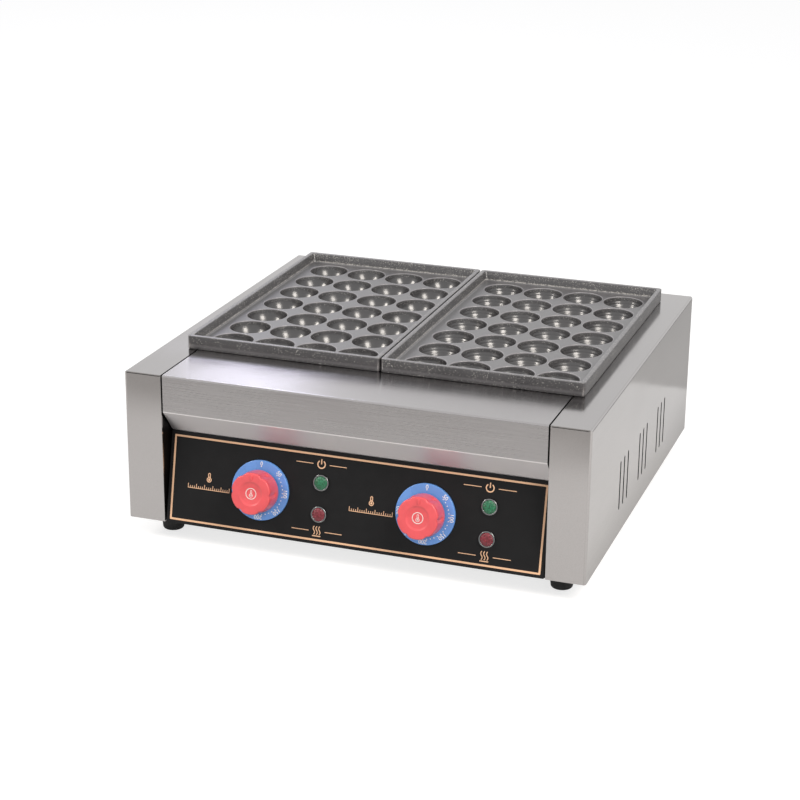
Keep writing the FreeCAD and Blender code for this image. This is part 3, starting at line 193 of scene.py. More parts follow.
def add_object(name, mesh):
    """Puts a mesh in the scene as a named object at the origin."""
    made = bpy.data.objects.new(name, mesh)
    bpy.context.scene.collection.objects.link(made)
    return made


def new_mesh(name, points, faces, place=Matrix(), closed=True):
    """Mesh with doubles merged and, where it is closed, its normals outward."""
    mesh = bpy.data.meshes.new(name)
    mesh.from_pydata([place @ Vector(p) for p in points], [], faces)
    form = bmesh.new()
    form.from_mesh(mesh)
    bmesh.ops.remove_doubles(form, verts=form.verts, dist=1e-6)
    bmesh.ops.dissolve_degenerate(form, edges=form.edges, dist=1e-7)
    if closed:
        bmesh.ops.recalc_face_normals(form, faces=form.faces)
    form.to_mesh(mesh)
    form.free()
    mesh.shade_smooth()
    return mesh


def ring_faces(rings, count, first=0):
    """Quads between rings of count points each, closed round."""
    faces = []
    for ring in range(rings - 1):
        for i in range(count):
            a = first + ring * count + i
            b = first + ring * count + (i + 1) % count
            faces.append((a, b, b + count, a + count))
    return faces


def lathe(profile, count, bend=None):
    """Points and faces of a closed turned form. profile is (radius, height) from pole to pole."""
    points = []
    for radius, height in profile:
        for i in range(count):
            angle = 2 * math.pi * i / count
            r = bend(radius, height, angle) if bend else radius
            points.append((r * math.cos(angle), r * math.sin(angle), height))
    return points, ring_faces(len(profile), count)


def arc(centre, radius, start, end, steps):
    """Points of a flat arc, angles in degrees."""
    angles = [math.radians(start + (end - start) * i / steps) for i in range(steps + 1)]
    return [(centre[0] + radius * math.cos(a), centre[1] + radius * math.sin(a)) for a in angles]


def evaluated_copy(source, name):
    """The object's shape after its modifiers, as a plain mesh."""
    graph = bpy.context.evaluated_depsgraph_get()
    mesh = bpy.data.meshes.new_from_object(source.evaluated_get(graph))
    mesh.name = name
    return mesh


def join_meshes(name, meshes):
    """One mesh out of several, with doubles merged."""
    form = bmesh.new()
    for mesh in meshes:
        form.from_mesh(mesh)
    bmesh.ops.remove_doubles(form, verts=form.verts, dist=2e-7)
    joined = bpy.data.meshes.new(name)
    form.to_mesh(joined)
    form.free()
    joined.shade_smooth()
    return joined


def finish_piece(piece, body, material, replaced=()):
    """Gives a piece its material, its body and the nodes it stands for."""
    piece.data.materials.clear()
    piece.data.materials.append(material)
    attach(piece, body)
    if replaced:
        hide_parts(*replaced)


def panel_place(hand, lift=0.0):
    """Matrix from the panel's axes at a knob: X right, Y up the slope, Z out of the label's face."""
    joint = JOINTS[hand + "_knob_turn"]
    out = -Vector(joint["axis"])
    right = Vector((1, 0, 0))
    up = out.cross(right)
    knob_lift = bpy.context.scene.takoyaki.knob.lift
    origin = Vector(joint["pos_m"]) + out * (lift - knob_lift)
    turn = Matrix((right, up, out)).transposed().to_4x4()
    return Matrix.Translation(origin) @ turn


def slab(outline, hole, bottom, top):
    """Thin flat piece between two heights from an outline and, where given, a hole of as many points."""
    points = []
    loops = [(outline, bottom), (outline, top)]
    loops += [(hole, top), (hole, bottom)] if hole else []
    for loop, height in loops:
        points += [(x, y, height) for x, y in loop]
    count = len(outline)
    faces = ring_faces(len(loops), count)
    if hole:
        last = (len(loops) - 1) * count
        for i in range(count):
            j = (i + 1) % count
            faces.append((last + i, last + j, j, i))
    else:
        faces.append(tuple(range(count)))
        faces.append(tuple(range(count, 2 * count)))
    return points, faces


def merged(parts):
    """Several (points, faces) pairs as one."""
    points, faces = [], []
    for part_points, part_faces in parts:
        faces += [tuple(i + len(points) for i in face) for face in part_faces]
        points += part_points
    return points, faces


# ---------------------------------------------------------------- node helpers

NOISE_RANGE = (0.3, 0.7)  # where most of a noise texture's values lie
SHARE, FIRST, SECOND = 0, 6, 7  # a Mix node's inputs when it mixes colours
COLOUR_MIX = {"data_type": "RGBA", "out": 2}


def add_node(tree, kind, *values, out=0, **settings):
    """Adds a node with its settings and links. Returns one output, or the node where out is None.

    values are the first inputs in their order, each a value or the socket that feeds it. A dict
    gives inputs by name or number instead.
    """
    made = tree.nodes.new(kind)
    for key, value in settings.items():
        setattr(made, key, value)
    inputs = {}
    for i, value in enumerate(values):
        inputs.update(value if isinstance(value, dict) else {i: value})
    for key, value in inputs.items():
        if isinstance(value, bpy.types.NodeSocket):
            tree.links.new(value, made.inputs[key])
        else:
            made.inputs[key].default_value = value
    return made if out is None else made.outputs[out]


def new_material(name, roughness, **shader_values):
    """Material with a Principled shader. Returns it with its tree and shader."""
    material = bpy.data.materials.new(name)
    material.use_nodes = True
    tree = material.node_tree
    tree.nodes.clear()
    values = {"Roughness": roughness}
    values.update({key.replace("_", " "): value for key, value in shader_values.items()})
    shader = add_node(tree, "ShaderNodeBsdfPrincipled", values, out=None)
    add_node(tree, "ShaderNodeOutputMaterial", {"Surface": shader.outputs[0]}, out=None)
    return material, tree, shader


def link_surface(tree, shader, **sockets):
    """Links the patterns of a surface to the shader's inputs."""
    for key, socket in sockets.items():
        tree.links.new(socket, shader.inputs[key.replace("_", " ")])


def pattern(tree, spacing, turn=(0, 0, 0)):
    """Object coordinates divided by a spacing in metres along each axis, turned first."""
    place = add_node(tree, "ShaderNodeTexCoord", out="Object")
    turned = add_node(tree, "ShaderNodeMapping", {"Vector": place, "Rotation": turn})
    scale = tuple(1 / s for s in spacing)
    return add_node(tree, "ShaderNodeVectorMath", turned, scale, operation="MULTIPLY")


def mottle(tree, spacing, detail, rough=0.5):
    """Uneven pattern on the object's own coordinates, with a spacing in metres along each axis."""
    return add_node(tree, "ShaderNodeTexNoise", {
        "Vector": pattern(tree, spacing), "Scale": 1.0, "Detail": detail, "Roughness": rough})


def rgba(colour, factor=1.0):
    """A linear colour made lighter or darker, with its alpha."""
    return (*(min(1.0, c * factor) for c in colour), 1)


def depth_below(tree, top):
    """How far below a height a point lies."""
    place = add_node(tree, "ShaderNodeTexCoord", out="Object")
    height = add_node(tree, "ShaderNodeSeparateXYZ", place, out=2)
    return add_node(tree, "ShaderNodeMath", top, height, operation="SUBTRACT")


def box_depths(tree, low, high):
    """How deep a point lies inside a box along X, Y and Z."""
    place = add_node(tree, "ShaderNodeTexCoord", out="Object")
    centred = add_node(tree, "ShaderNodeVectorMath", place, (low + high) / 2, operation="SUBTRACT")
    away = add_node(tree, "ShaderNodeVectorMath", centred, operation="ABSOLUTE")
    depths = add_node(tree, "ShaderNodeVectorMath", (high - low) / 2, away, operation="SUBTRACT")
    return add_node(tree, "ShaderNodeSeparateXYZ", depths, out=None).outputs


# ---------------------------------------------------------------- materials

COVE = 0.0018  # cast fillet between a plate's floor and its rim


def inner_faces(tree, low, high):
    """1 on a folded casing's inner faces and on the punched edges of its slots, where shade is painted in.
    """
    skin, border = 0.00015, 0.002
    depth = box_depths(tree, low, high)
    nearest = add_node(tree, "ShaderNodeMath", depth[1], depth[2], operation="MINIMUM")
    away = add_node(tree, "ShaderNodeMath", nearest, border, operation="GREATER_THAN")
    behind = add_node(tree, "ShaderNodeMath", depth[0], skin, operation="GREATER_THAN")
    return add_node(tree, "ShaderNodeMath", away, behind, operation="MULTIPLY")


def end_seams(tree, low, high):
    """1 along the two ends of a sheet, where a painted shadow darkens the joint."""
    seam = bpy.context.scene.takoyaki.sheet.seam
    return add_node(tree, "ShaderNodeMath", box_depths(tree, low, high)[0], seam, operation="LESS_THAN")


def brushed_steel(name, colour, grain, roughness, painted_shade_places, box, spread_across=0.0, coarser=0.0,
                  painted_top_shade=1.0):
    """Cold-rolled stainless sheet with a brushed, satin finish.

    The brushing spreads reflections across its lines, and thin sheet is never quite flat. grain is
    the spacing in metres of the pattern along X, Y and Z: long along the lines and short across.
    The real lines are about 0.1 mm apart, and are drawn wider here so that they show. spread_across
    is the shader's anisotropy, for lines that run along X. painted_shade_places says where in the sheet's
    box shade is painted in, nearly black and rougher. coarser is how much rougher the brushing is below
    the sheet's top face, and again below the fascia's fold, where the sheet is matt; there the colour
    is made paler as a painted reflection, and the fold itself carries a painted highlight. scuffed is
    the share of the colour left on the top face, darkened there as painted shade.
    """
    # colour factors: a painted reflection on the chin, a painted highlight along the fold and the
    # near-black of painted shade
    painted_chin_reflection, painted_highlight, shadowed = 1.42, 1.9, 0.025
    material, tree, shader = new_material(name, roughness, Metallic=1.0, Anisotropic=spread_across)
    if spread_across:
        lay = add_node(tree, "ShaderNodeCombineXYZ", 1.0, 0.0, 0.0)
        link_surface(tree, shader, Tangent=lay)
        shader.inputs["Anisotropic Rotation"].default_value = 0.25
    lines = mottle(tree, grain, 3.0, 0.6)
    smears = mottle(tree, (0.11, 0.11, 0.07), 3.0, 0.55)
    waves = mottle(tree, (0.16, 0.16, 0.09), 1.0, 0.4)
    line_share = add_node(tree, "ShaderNodeMapRange", lines, *NOISE_RANGE, 0, 1)
    tone = add_node(tree, "ShaderNodeMix", {
        SHARE: line_share, FIRST: rgba(colour, 0.94), SECOND: rgba(colour, 1.05)}, **COLOUR_MIX)
    line_rough = add_node(tree, "ShaderNodeMapRange", lines, *NOISE_RANGE,
                          roughness - 0.03, roughness + 0.04)
    smear_rough = add_node(tree, "ShaderNodeMapRange", smears, *NOISE_RANGE, -0.03, 0.05)
    rough = add_node(tree, "ShaderNodeMath", line_rough, smear_rough, operation="ADD")
    if coarser:
        fold = bpy.context.scene.takoyaki.sheet.fascia
        down = depth_below(tree, box[1].z)
        below_top = add_node(tree, "ShaderNodeMapRange", down, 0.0002, 0.0015, 0.0, coarser)
        below_fold = add_node(tree, "ShaderNodeMapRange", down, fold - 0.0004, fold + 0.0012,
                              0.0, 3 * coarser)
        both = add_node(tree, "ShaderNodeMath", below_top, below_fold, operation="ADD")
        rough = add_node(tree, "ShaderNodeMath", rough, both, operation="ADD")
        from_fold = add_node(tree, "ShaderNodeMath", down, fold, operation="SUBTRACT")
        away = add_node(tree, "ShaderNodeMath", from_fold, operation="ABSOLUTE")
        # the chin is painted paler as a painted reflection, and the fold gets a painted highlight
        chin = add_node(tree, "ShaderNodeMapRange", down, fold, fold + 0.0006, 0, 1)
        crease = add_node(tree, "ShaderNodeMapRange", away, 0.0003, 0.001, 1, 0)
        for share, factor in ((chin, painted_chin_reflection), (crease, painted_highlight)):
            tone = add_node(tree, "ShaderNodeMix", {
                SHARE: share, FIRST: tone, SECOND: rgba(colour, factor)}, **COLOUR_MIX)
    # painted shade on the top face
    if painted_top_shade < 1:
        top_face = add_node(tree, "ShaderNodeMapRange", depth_below(tree, box[1].z), 0.0002, 0.001, 1, 0)
        tone = add_node(tree, "ShaderNodeMix", {
            SHARE: top_face, FIRST: tone, SECOND: rgba(colour, painted_top_shade)}, **COLOUR_MIX)
    # painted shade, nearly black, in the places that the given function marks
    dark = painted_shade_places(tree, *box)
    tone = add_node(tree, "ShaderNodeMix", {
        SHARE: dark, FIRST: tone, SECOND: rgba(colour, shadowed)}, **COLOUR_MIX)
    dull = add_node(tree, "ShaderNodeMath", dark, 0.4, operation="MULTIPLY")
    rough = add_node(tree, "ShaderNodeMath", rough, dull, operation="ADD")
    sheet = add_node(tree, "ShaderNodeBump", {"Height": waves, "Distance": 0.0009})
    brushed = add_node(tree, "ShaderNodeBump", {
        "Height": lines, "Distance": 0.00002, "Strength": 0.45, "Normal": sheet})
    link_surface(tree, shader, Base_Color=tone, Roughness=rough, Normal=brushed)
    return material


def rolled_steel(name, colour, roughness):
    """Aluminised or zinc-plated sheet and small steel hardware: dull, with a faint spangle."""
    material, tree, shader = new_material(name, roughness, Metallic=1.0)
    spangle = mottle(tree, (0.004, 0.004, 0.004), 2.0)
    stain = mottle(tree, (0.06, 0.06, 0.06), 3.0)
    both = add_node(tree, "ShaderNodeMath", spangle, stain, operation="MULTIPLY")
    share = add_node(tree, "ShaderNodeMapRange", both, 0.12, 0.4, 0, 1)
    tone = add_node(tree, "ShaderNodeMix", {
        SHARE: share, FIRST: rgba(colour, 0.85), SECOND: rgba(colour)}, **COLOUR_MIX)
    rough = add_node(tree, "ShaderNodeMapRange", stain, *NOISE_RANGE, roughness - 0.05, roughness + 0.1)
    uneven = add_node(tree, "ShaderNodeBump", {"Height": spangle, "Distance": 0.00003, "Strength": 0.5})
    link_surface(tree, shader, Base_Color=tone, Roughness=rough, Normal=uneven)
    return material


def floor_middle(low, high, sizes):
    """Middle of a plate's floor, from the plate's box."""
    return Vector(((low.x + high.x) / 2, (low.y + high.y) / 2, high.z - sizes.rim_height))


def stone_coating(name, colour, low, high, sizes, ring_depth):
    """Sprayed PTFE coating on cast aluminium, dark with fine light flecks.

    The flecks lie on the rim and the walls. They are drawn about 0.5 mm wide and 1.3 mm apart, a
    little coarser than real ones, so that they show. The cups are turned in the mould tool, which
    leaves rings about 1.3 mm apart under the coating. The cups are darkened with painted shade, the
    floor and the rim's top are lightened with painted light, and painted highlights run round the
    cups' lips and as a speckled line along the rim's foot. low and high are the plate's box. The
    cups' places are counted from plate_low, the first corner of their block.
    """
    fleck_spacing, ring_spacing = 0.0013, 0.0013
    # colour factors: painted shade in the cups, painted light on the rim's top and painted highlights on
    # the lips
    painted_cup_shade, painted_rim_light, painted_highlight = 0.62, 1.9, 4.0
    pitch = sizes.pitch
    block = Vector((sizes.columns, sizes.rows, 0)) * pitch
    plate_low = floor_middle(low, high, sizes) - block / 2
    material, tree, shader = new_material(name, 0.4, Specular_IOR_Level=0.9)

    # where a point lies: above or below the floor, and how far from the nearest cup's axis
    place = add_node(tree, "ShaderNodeTexCoord", out="Object")
    moved = add_node(tree, "ShaderNodeVectorMath", place, plate_low, operation="SUBTRACT")
    axes = add_node(tree, "ShaderNodeSeparateXYZ", moved, out=None).outputs
    height = axes[2]
    level = add_node(tree, "ShaderNodeMath", height, operation="ABSOLUTE")
    along = [add_node(tree, "ShaderNodeMath", axes[i], pitch / 2, operation="PINGPONG") for i in (0, 1)]
    flat = add_node(tree, "ShaderNodeCombineXYZ", *along)
    reach = add_node(tree, "ShaderNodeVectorMath", flat, (pitch / 2, pitch / 2, 0), operation="DISTANCE",
                     out="Value")
    within = box_depths(tree, plate_low, plate_low + block)
    least = add_node(tree, "ShaderNodeMath", within[0], within[1], operation="MINIMUM")
    on_block = add_node(tree, "ShaderNodeMath", least, 0.0, operation="GREATER_THAN")
    sunk = add_node(tree, "ShaderNodeMath", height, -0.0003, operation="LESS_THAN")
    near = add_node(tree, "ShaderNodeMapRange", reach, sizes.cup_radius - 0.001, sizes.cup_radius, 1, 0)
    bowl = add_node(tree, "ShaderNodeMath", on_block, sunk, operation="MULTIPLY")
    inside = add_node(tree, "ShaderNodeMath", near, bowl, operation="MULTIPLY")

    # the ground, with painted light on the floor and the rim's top and painted shade in the cups
    worn = mottle(tree, (0.05,) * 3, 4.0, 0.6)
    worn_share = add_node(tree, "ShaderNodeMapRange", worn, *NOISE_RANGE, 0, 1)
    tone = add_node(tree, "ShaderNodeMix", {
        SHARE: worn_share, FIRST: rgba(colour, 0.62), SECOND: rgba(colour, 0.9)}, **COLOUR_MIX)
    # painted light on the floor
    floor = add_node(tree, "ShaderNodeMix", {
        SHARE: worn_share, FIRST: rgba(colour, 1.35), SECOND: rgba(colour, 1.6)}, **COLOUR_MIX)
    at_floor = add_node(tree, "ShaderNodeMapRange", level, 0.0005, 0.002, 1, 0)
    rim = sizes.rim_height
    # painted light on the rim's top
    at_top = add_node(tree, "ShaderNodeMapRange", height, rim - 0.0009, rim - 0.0002, 0, 0.85)
    for share, paint in ((at_floor, floor), (inside, rgba(colour, painted_cup_shade)), (at_top, rgba(colour, painted_rim_light))):
        tone = add_node(tree, "ShaderNodeMix", {SHARE: share, FIRST: tone, SECOND: paint}, **COLOUR_MIX)

    # the flecks, and the painted highlight along the rim's foot
    cells = add_node(tree, "ShaderNodeTexVoronoi", {
        "Vector": pattern(tree, (fleck_spacing,) * 3), "Scale": 1.0}, out=None).outputs
    crowd = mottle(tree, (0.018,) * 3, 3.0)
    size = add_node(tree, "ShaderNodeMapRange", crowd, *NOISE_RANGE, 0.26, 0.42)
    keep = add_node(tree, "ShaderNodeMath", cells["Distance"], size, operation="LESS_THAN")
    bright = add_node(tree, "ShaderNodeMapRange", cells["Color"], 0.3, 0.9, 0.0, 0.75)
    shown = add_node(tree, "ShaderNodeMath", keep, bright, operation="MULTIPLY")
    on_walls = add_node(tree, "ShaderNodeMapRange", level, 0.0005, 0.002, 0.2, 1.0)
    outside = add_node(tree, "ShaderNodeMath", on_walls, inside, operation="SUBTRACT")
    fleck = add_node(tree, "ShaderNodeMath", shown, outside, operation="MULTIPLY")
    depth = box_depths(tree, low, high)
    nearest = add_node(tree, "ShaderNodeMath", depth[0], depth[1], operation="MINIMUM")
    inner = add_node(tree, "ShaderNodeMath", nearest, 0.004, operation="GREATER_THAN")
    # a painted highlight, speckled, along the rim's foot
    from_foot = add_node(tree, "ShaderNodeMath", height, COVE, operation="SUBTRACT")
    above = add_node(tree, "ShaderNodeMath", from_foot, operation="ABSOLUTE")
    line = add_node(tree, "ShaderNodeMapRange", above, 0.0002, 0.0009, 0.75, 0)
    foot = add_node(tree, "ShaderNodeMath", line, inner, operation="MULTIPLY")
    speckle = add_node(tree, "ShaderNodeMapRange", cells["Color"], *NOISE_RANGE, 0.2, 1.0)
    foot = add_node(tree, "ShaderNodeMath", foot, speckle, operation="MULTIPLY")
    fleck = add_node(tree, "ShaderNodeMath", fleck, foot, operation="MAXIMUM")
    tone = add_node(tree, "ShaderNodeMix", {
        SHARE: fleck, FIRST: tone, SECOND: rgba(linear("C6C4C0"))}, **COLOUR_MIX)

    # painted highlights on the cups' lips
    from_lip = add_node(tree, "ShaderNodeMath", reach, sizes.cup_radius + 0.0002, operation="SUBTRACT")
    edge = add_node(tree, "ShaderNodeMath", from_lip, operation="ABSOLUTE")
    ring = add_node(tree, "ShaderNodeMapRange", edge, 0.0002, 0.0007, 0.8, 0)
    lip = add_node(tree, "ShaderNodeMath", ring, on_block, operation="MULTIPLY")
    shallow = add_node(tree, "ShaderNodeMath", level, 0.0008, operation="LESS_THAN")
    lip = add_node(tree, "ShaderNodeMath", lip, shallow, operation="MULTIPLY")
    tone = add_node(tree, "ShaderNodeMix", {
        SHARE: lip, FIRST: tone, SECOND: rgba(colour, painted_highlight)}, **COLOUR_MIX)

    # the coating's skin over the turned rings
    grain = mottle(tree, (0.0016,) * 3, 2.0)
    skin = add_node(tree, "ShaderNodeBump", {"Height": grain, "Distance": 0.000012, "Strength": 0.7})
    beat = add_node(tree, "ShaderNodeMath", reach, 2 * math.pi / ring_spacing, operation="MULTIPLY")
    wave = add_node(tree, "ShaderNodeMath", beat, operation="SINE")
    rings = add_node(tree, "ShaderNodeMath", wave, inside, operation="MULTIPLY")
    turned = add_node(tree, "ShaderNodeBump", {"Height": rings, "Distance": ring_depth, "Normal": skin})
    worn_rough = add_node(tree, "ShaderNodeMapRange", worn, *NOISE_RANGE, 0.27, 0.36)
    smoother = add_node(tree, "ShaderNodeMath", inside, -0.08, operation="MULTIPLY")
    rough = add_node(tree, "ShaderNodeMath", worn_rough, smoother, operation="ADD")
    link_surface(tree, shader, Base_Color=tone, Roughness=rough, Normal=turned)
    return material


def moulded_plastic(name, colour, roughness, texture, **shader_values):
    """Injection-moulded ABS or polypropylene: smooth, with the tool's slight unevenness."""
    material, tree, shader = new_material(name, roughness, **shader_values)
    cloud = mottle(tree, (0.012,) * 3, 3.0)
    grain = mottle(tree, (0.0009,) * 3, 2.0)
    share = add_node(tree, "ShaderNodeMapRange", cloud, *NOISE_RANGE, 0, 1)
    tone = add_node(tree, "ShaderNodeMix", {
        SHARE: share, FIRST: rgba(colour, 0.92), SECOND: rgba(colour, 1.05)}, **COLOUR_MIX)
    rough = add_node(tree, "ShaderNodeMapRange", cloud, *NOISE_RANGE, roughness - 0.03, roughness + 0.05)
    uneven = add_node(tree, "ShaderNodeBump", {"Height": grain, "Distance": texture, "Strength": 0.6})
    link_surface(tree, shader, Base_Color=tone, Roughness=rough, Normal=uneven)
    return material


def faceted_lens(name, colour, light, tilt):
    """Clear tinted polycarbonate with small pyramids moulded inside, about 1.3 mm apart. The pyramids'
    peaks are painted unevenly in the lighter tint, as painted glints.
    """
    material, tree, shader = new_material(name, 0.16, Coat_Weight=0.25, Coat_Roughness=0.06)
    facet_spacing = 0.0013
    cells = pattern(tree, (facet_spacing,) * 3, (tilt, 0, 0))
    axes = add_node(tree, "ShaderNodeSeparateXYZ", cells, out=None).outputs
    folds = [add_node(tree, "ShaderNodeMath", axes[i], 0.5, operation="PINGPONG") for i in (0, 2)]
    peaks = add_node(tree, "ShaderNodeMath", *folds, operation="MINIMUM")
    # painted glints: a random gain on the peaks mixes in the lighter tint
    sparkle = add_node(tree, "ShaderNodeTexNoise", {
        "Vector": cells, "Scale": 1.0, "Detail": 1.0, "Roughness": 0.5})
    gain = add_node(tree, "ShaderNodeMapRange", sparkle, *NOISE_RANGE, 0.2, 2.0)
    glow = add_node(tree, "ShaderNodeMath", peaks, gain, operation="MULTIPLY")
    share = add_node(tree, "ShaderNodeMapRange", glow, 0, 0.7, 0, 1)
    tone = add_node(tree, "ShaderNodeMix", {
        SHARE: share, FIRST: rgba(colour), SECOND: rgba(light)}, **COLOUR_MIX)
    facets = add_node(tree, "ShaderNodeBump", {"Height": peaks, "Distance": 0.0005, "Strength": 0.8})
    link_surface(tree, shader, Base_Color=tone, Normal=facets)
    return material


def plated_chrome(name, colour):
    """Chrome on moulded ABS: a mirror with faint smears."""
    material, tree, shader = new_material(name, 0.14, Metallic=1.0, Base_Color=rgba(colour))
    smear = mottle(tree, (0.004,) * 3, 2.0)
    rough = add_node(tree, "ShaderNodeMapRange", smear, *NOISE_RANGE, 0.12, 0.2)
    link_surface(tree, shader, Roughness=rough)
    return material


def printed_ink(name, colour, roughness):
    """Screen-printed ink: a flat, slightly uneven film."""
    material, tree, shader = new_material(name, roughness)
    film = mottle(tree, (0.0006,) * 3, 2.0)
    share = add_node(tree, "ShaderNodeMapRange", film, *NOISE_RANGE, 0, 1)
    tone = add_node(tree, "ShaderNodeMix", {
        SHARE: share, FIRST: rgba(colour, 0.9), SECOND: rgba(colour)}, **COLOUR_MIX)
    uneven = add_node(tree, "ShaderNodeBump", {"Height": film, "Distance": 0.00001, "Strength": 0.4})
    link_surface(tree, shader, Base_Color=tone, Normal=uneven)
    return material


def moulded_rubber(name, colour):
    """Vulcanised rubber with a bloomed, matt skin."""
    material, tree, shader = new_material(name, 0.75)
    bloom = mottle(tree, (0.006,) * 3, 4.0, 0.65)
    share = add_node(tree, "ShaderNodeMapRange", bloom, *NOISE_RANGE, 0, 1)
    tone = add_node(tree, "ShaderNodeMix", {
        SHARE: share, FIRST: rgba(colour), SECOND: rgba(colour, 1.9)}, **COLOUR_MIX)
    rough = add_node(tree, "ShaderNodeMapRange", bloom, *NOISE_RANGE, 0.65, 0.85)
    uneven = add_node(tree, "ShaderNodeBump", {"Height": bloom, "Distance": 0.0001, "Strength": 0.5})
    link_surface(tree, shader, Base_Color=tone, Roughness=rough, Normal=uneven)
    return material


def set_node_material(names, material):
    """Carried-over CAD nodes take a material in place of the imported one."""
    for name in names:
        slots = NODES[name].data.materials
        slots.clear()
        slots.append(material)


# ---------------------------------------------------------------- grill plates

SEGMENTS = 48  # round a cup, a multiple of 8 so that the tile's corners have a point


def sphere_under(sizes, radius):
    """Height of the casting's underside at a distance from a cup's axis."""
    inner = (sizes.cup_radius ** 2 + sizes.cup_depth ** 2) / (2 * sizes.cup_depth)
    outer = inner + sizes.cup_wall
    rise = inner - sizes.cup_depth
    below = rise - math.sqrt(max(outer ** 2 - radius ** 2, 0.0))
    return min(-sizes.floor, below) if radius < outer else -sizes.floor


def square_reach(angle, half):
    return half / max(abs(math.cos(angle)), abs(math.sin(angle)))


def tile_mesh(sizes):
    """One cup with its square of floor, open at the tile's four sides so that tiles join up."""
    half = sizes.pitch / 2
    angles = [2 * math.pi * i / SEGMENTS for i in range(SEGMENTS)]
    inner = (sizes.cup_radius ** 2 + sizes.cup_depth ** 2) / (2 * sizes.cup_depth)
    rise = inner - sizes.cup_depth
    # the lip is a fillet of radius lip, tangent to the floor and to the cup's sphere
    centre_r = math.sqrt((inner + sizes.lip) ** 2 - (rise + sizes.lip) ** 2)
    touch = math.atan2(rise + sizes.lip, centre_r)
    points = [(square_reach(a, half) * math.cos(a), square_reach(a, half) * math.sin(a), 0.0)
              for a in angles]
    top = [((half + centre_r) / 2 + 0.0001, 0.0)]
    top += [(centre_r + sizes.lip * math.sin(t), -sizes.lip + sizes.lip * math.cos(t))
            for t in [-(math.pi / 2 - touch) * i / 5 for i in range(6)]]
    start = math.acos(min(1.0, (centre_r - sizes.lip * math.cos(touch)) / inner))
    for i in range(1, 12):
        polar = start + (math.pi / 2 - start) * i / 11
        top.append((inner * math.cos(polar), rise - inner * math.sin(polar)))
    for radius, height in top:
        points += [(radius * math.cos(a), radius * math.sin(a), height) for a in angles]
    upper = ring_faces(len(top) + 1, SEGMENTS)
    first = len(points)
    shares = (1.0, 0.96, 0.9, 0.8, 0.66, 0.5, 0.34, 0.17, 0.0)
    for share in shares:
        for a in angles:
            reach = square_reach(a, half) * share
            points.append((reach * math.cos(a), reach * math.sin(a), sphere_under(sizes, reach)))
    lower = [face[::-1] for face in ring_faces(len(shares), SEGMENTS, first)]
    return new_mesh("cup_tile", points, upper + lower, closed=False)


def side_stops(count, half):
    """Where the tiles' outer edges have a point along a side with count tiles."""
    stops = []
    for tile in range(count):
        middle = (tile - (count - 1) / 2) * 2 * half
        for i in range(SEGMENTS // 4 + 1):
            stops.append(middle + half * math.tan(-math.pi / 4 + 2 * math.pi * i / SEGMENTS))
    return [s for i, s in enumerate(stops) if i == 0 or s - stops[i - 1] > 1e-7]


def rim_ring(sizes, half_x, half_y, radius, height):
    """A rounded rectangle with one point for each point along the block of tiles."""
    half = sizes.pitch / 2
    block_x = sizes.columns * half
    block_y = sizes.rows * half
    along_x = [s / block_x for s in side_stops(sizes.columns, half)]
    along_y = [s / block_y for s in side_stops(sizes.rows, half)]
    straight_x = half_x - radius
    straight_y = half_y - radius
    corners = []
    for start, cx, cy in ((-90, 1, -1), (0, 1, 1), (90, -1, 1), (180, -1, -1)):
        corners.append(arc((cx * straight_x, cy * straight_y), radius, start, start + 90, 6))
    flat = [(s * straight_x, -half_y) for s in along_x[1:-1]] + corners[0]
    flat += [(half_x, s * straight_y) for s in along_y[1:-1]] + corners[1]
    flat += [(-s * straight_x, half_y) for s in along_x[1:-1]] + corners[2]
    flat += [(-half_x, -s * straight_y) for s in along_y[1:-1]] + corners[3]
    return [(x, y, height) for x, y in flat]


def rim_mesh(sizes, half_x, half_y):
    """The casting's border, from the block of tiles out to the rim and back under the floor."""
    edge = 0.0008
    block_x = sizes.columns * sizes.pitch / 2
    block_y = sizes.rows * sizes.pitch / 2
    foot = sizes.rim_width + sizes.rim_draft
    lean = sizes.rim_draft / sizes.rim_height
    section = [(0.0, -sizes.floor + 0.0006), (0.0, sizes.rim_height - edge)]
    section += [(edge - edge * math.cos(t), sizes.rim_height - edge + edge * math.sin(t))
                for t in [math.pi / 2 * i / 4 for i in range(1, 5)]]
    section += [(sizes.rim_width - edge, sizes.rim_height)]
    section += [(sizes.rim_width - edge + edge * math.sin(t) + edge * lean * (1 - math.cos(t)),
                 sizes.rim_height - edge + edge * math.cos(t))
                for t in [math.pi / 2 * i / 4 for i in range(1, 5)]]
    section += [(foot - COVE * lean, COVE)]
    section += [(foot - COVE * lean + COVE * (1 - math.cos(t)), COVE - COVE * math.sin(t))
                for t in [math.pi / 2 * i / 4 for i in range(1, 5)]]
    rings = [rim_ring(sizes, half_x - 0.0006, half_y - 0.0006, sizes.corner - 0.0006, -sizes.floor)]
    rings += [rim_ring(sizes, half_x - d, half_y - d, sizes.corner, z) for d, z in section]
    rings.append(rim_ring(sizes, block_x, block_y, 0.0, 0.0))
    border = rim_ring(sizes, block_x, block_y, 0.0, -sizes.floor)
    under = []
    for x, y, _ in border:
        away_x = abs((x / sizes.pitch + sizes.columns / 2) % 1 - 0.5) * sizes.pitch
        away_y = abs((y / sizes.pitch + sizes.rows / 2) % 1 - 0.5) * sizes.pitch
        under.append((x, y, sphere_under(sizes, math.hypot(away_x, away_y))))
    rings.insert(0, rim_ring(sizes, block_x + 0.0006, block_y + 0.0006, 0.0, -sizes.floor))
    rings.insert(0, under)
    count = len(border)
    points = [p for ring in rings for p in ring]
    return new_mesh("plate_border", points, ring_faces(len(rings), count), closed=False)


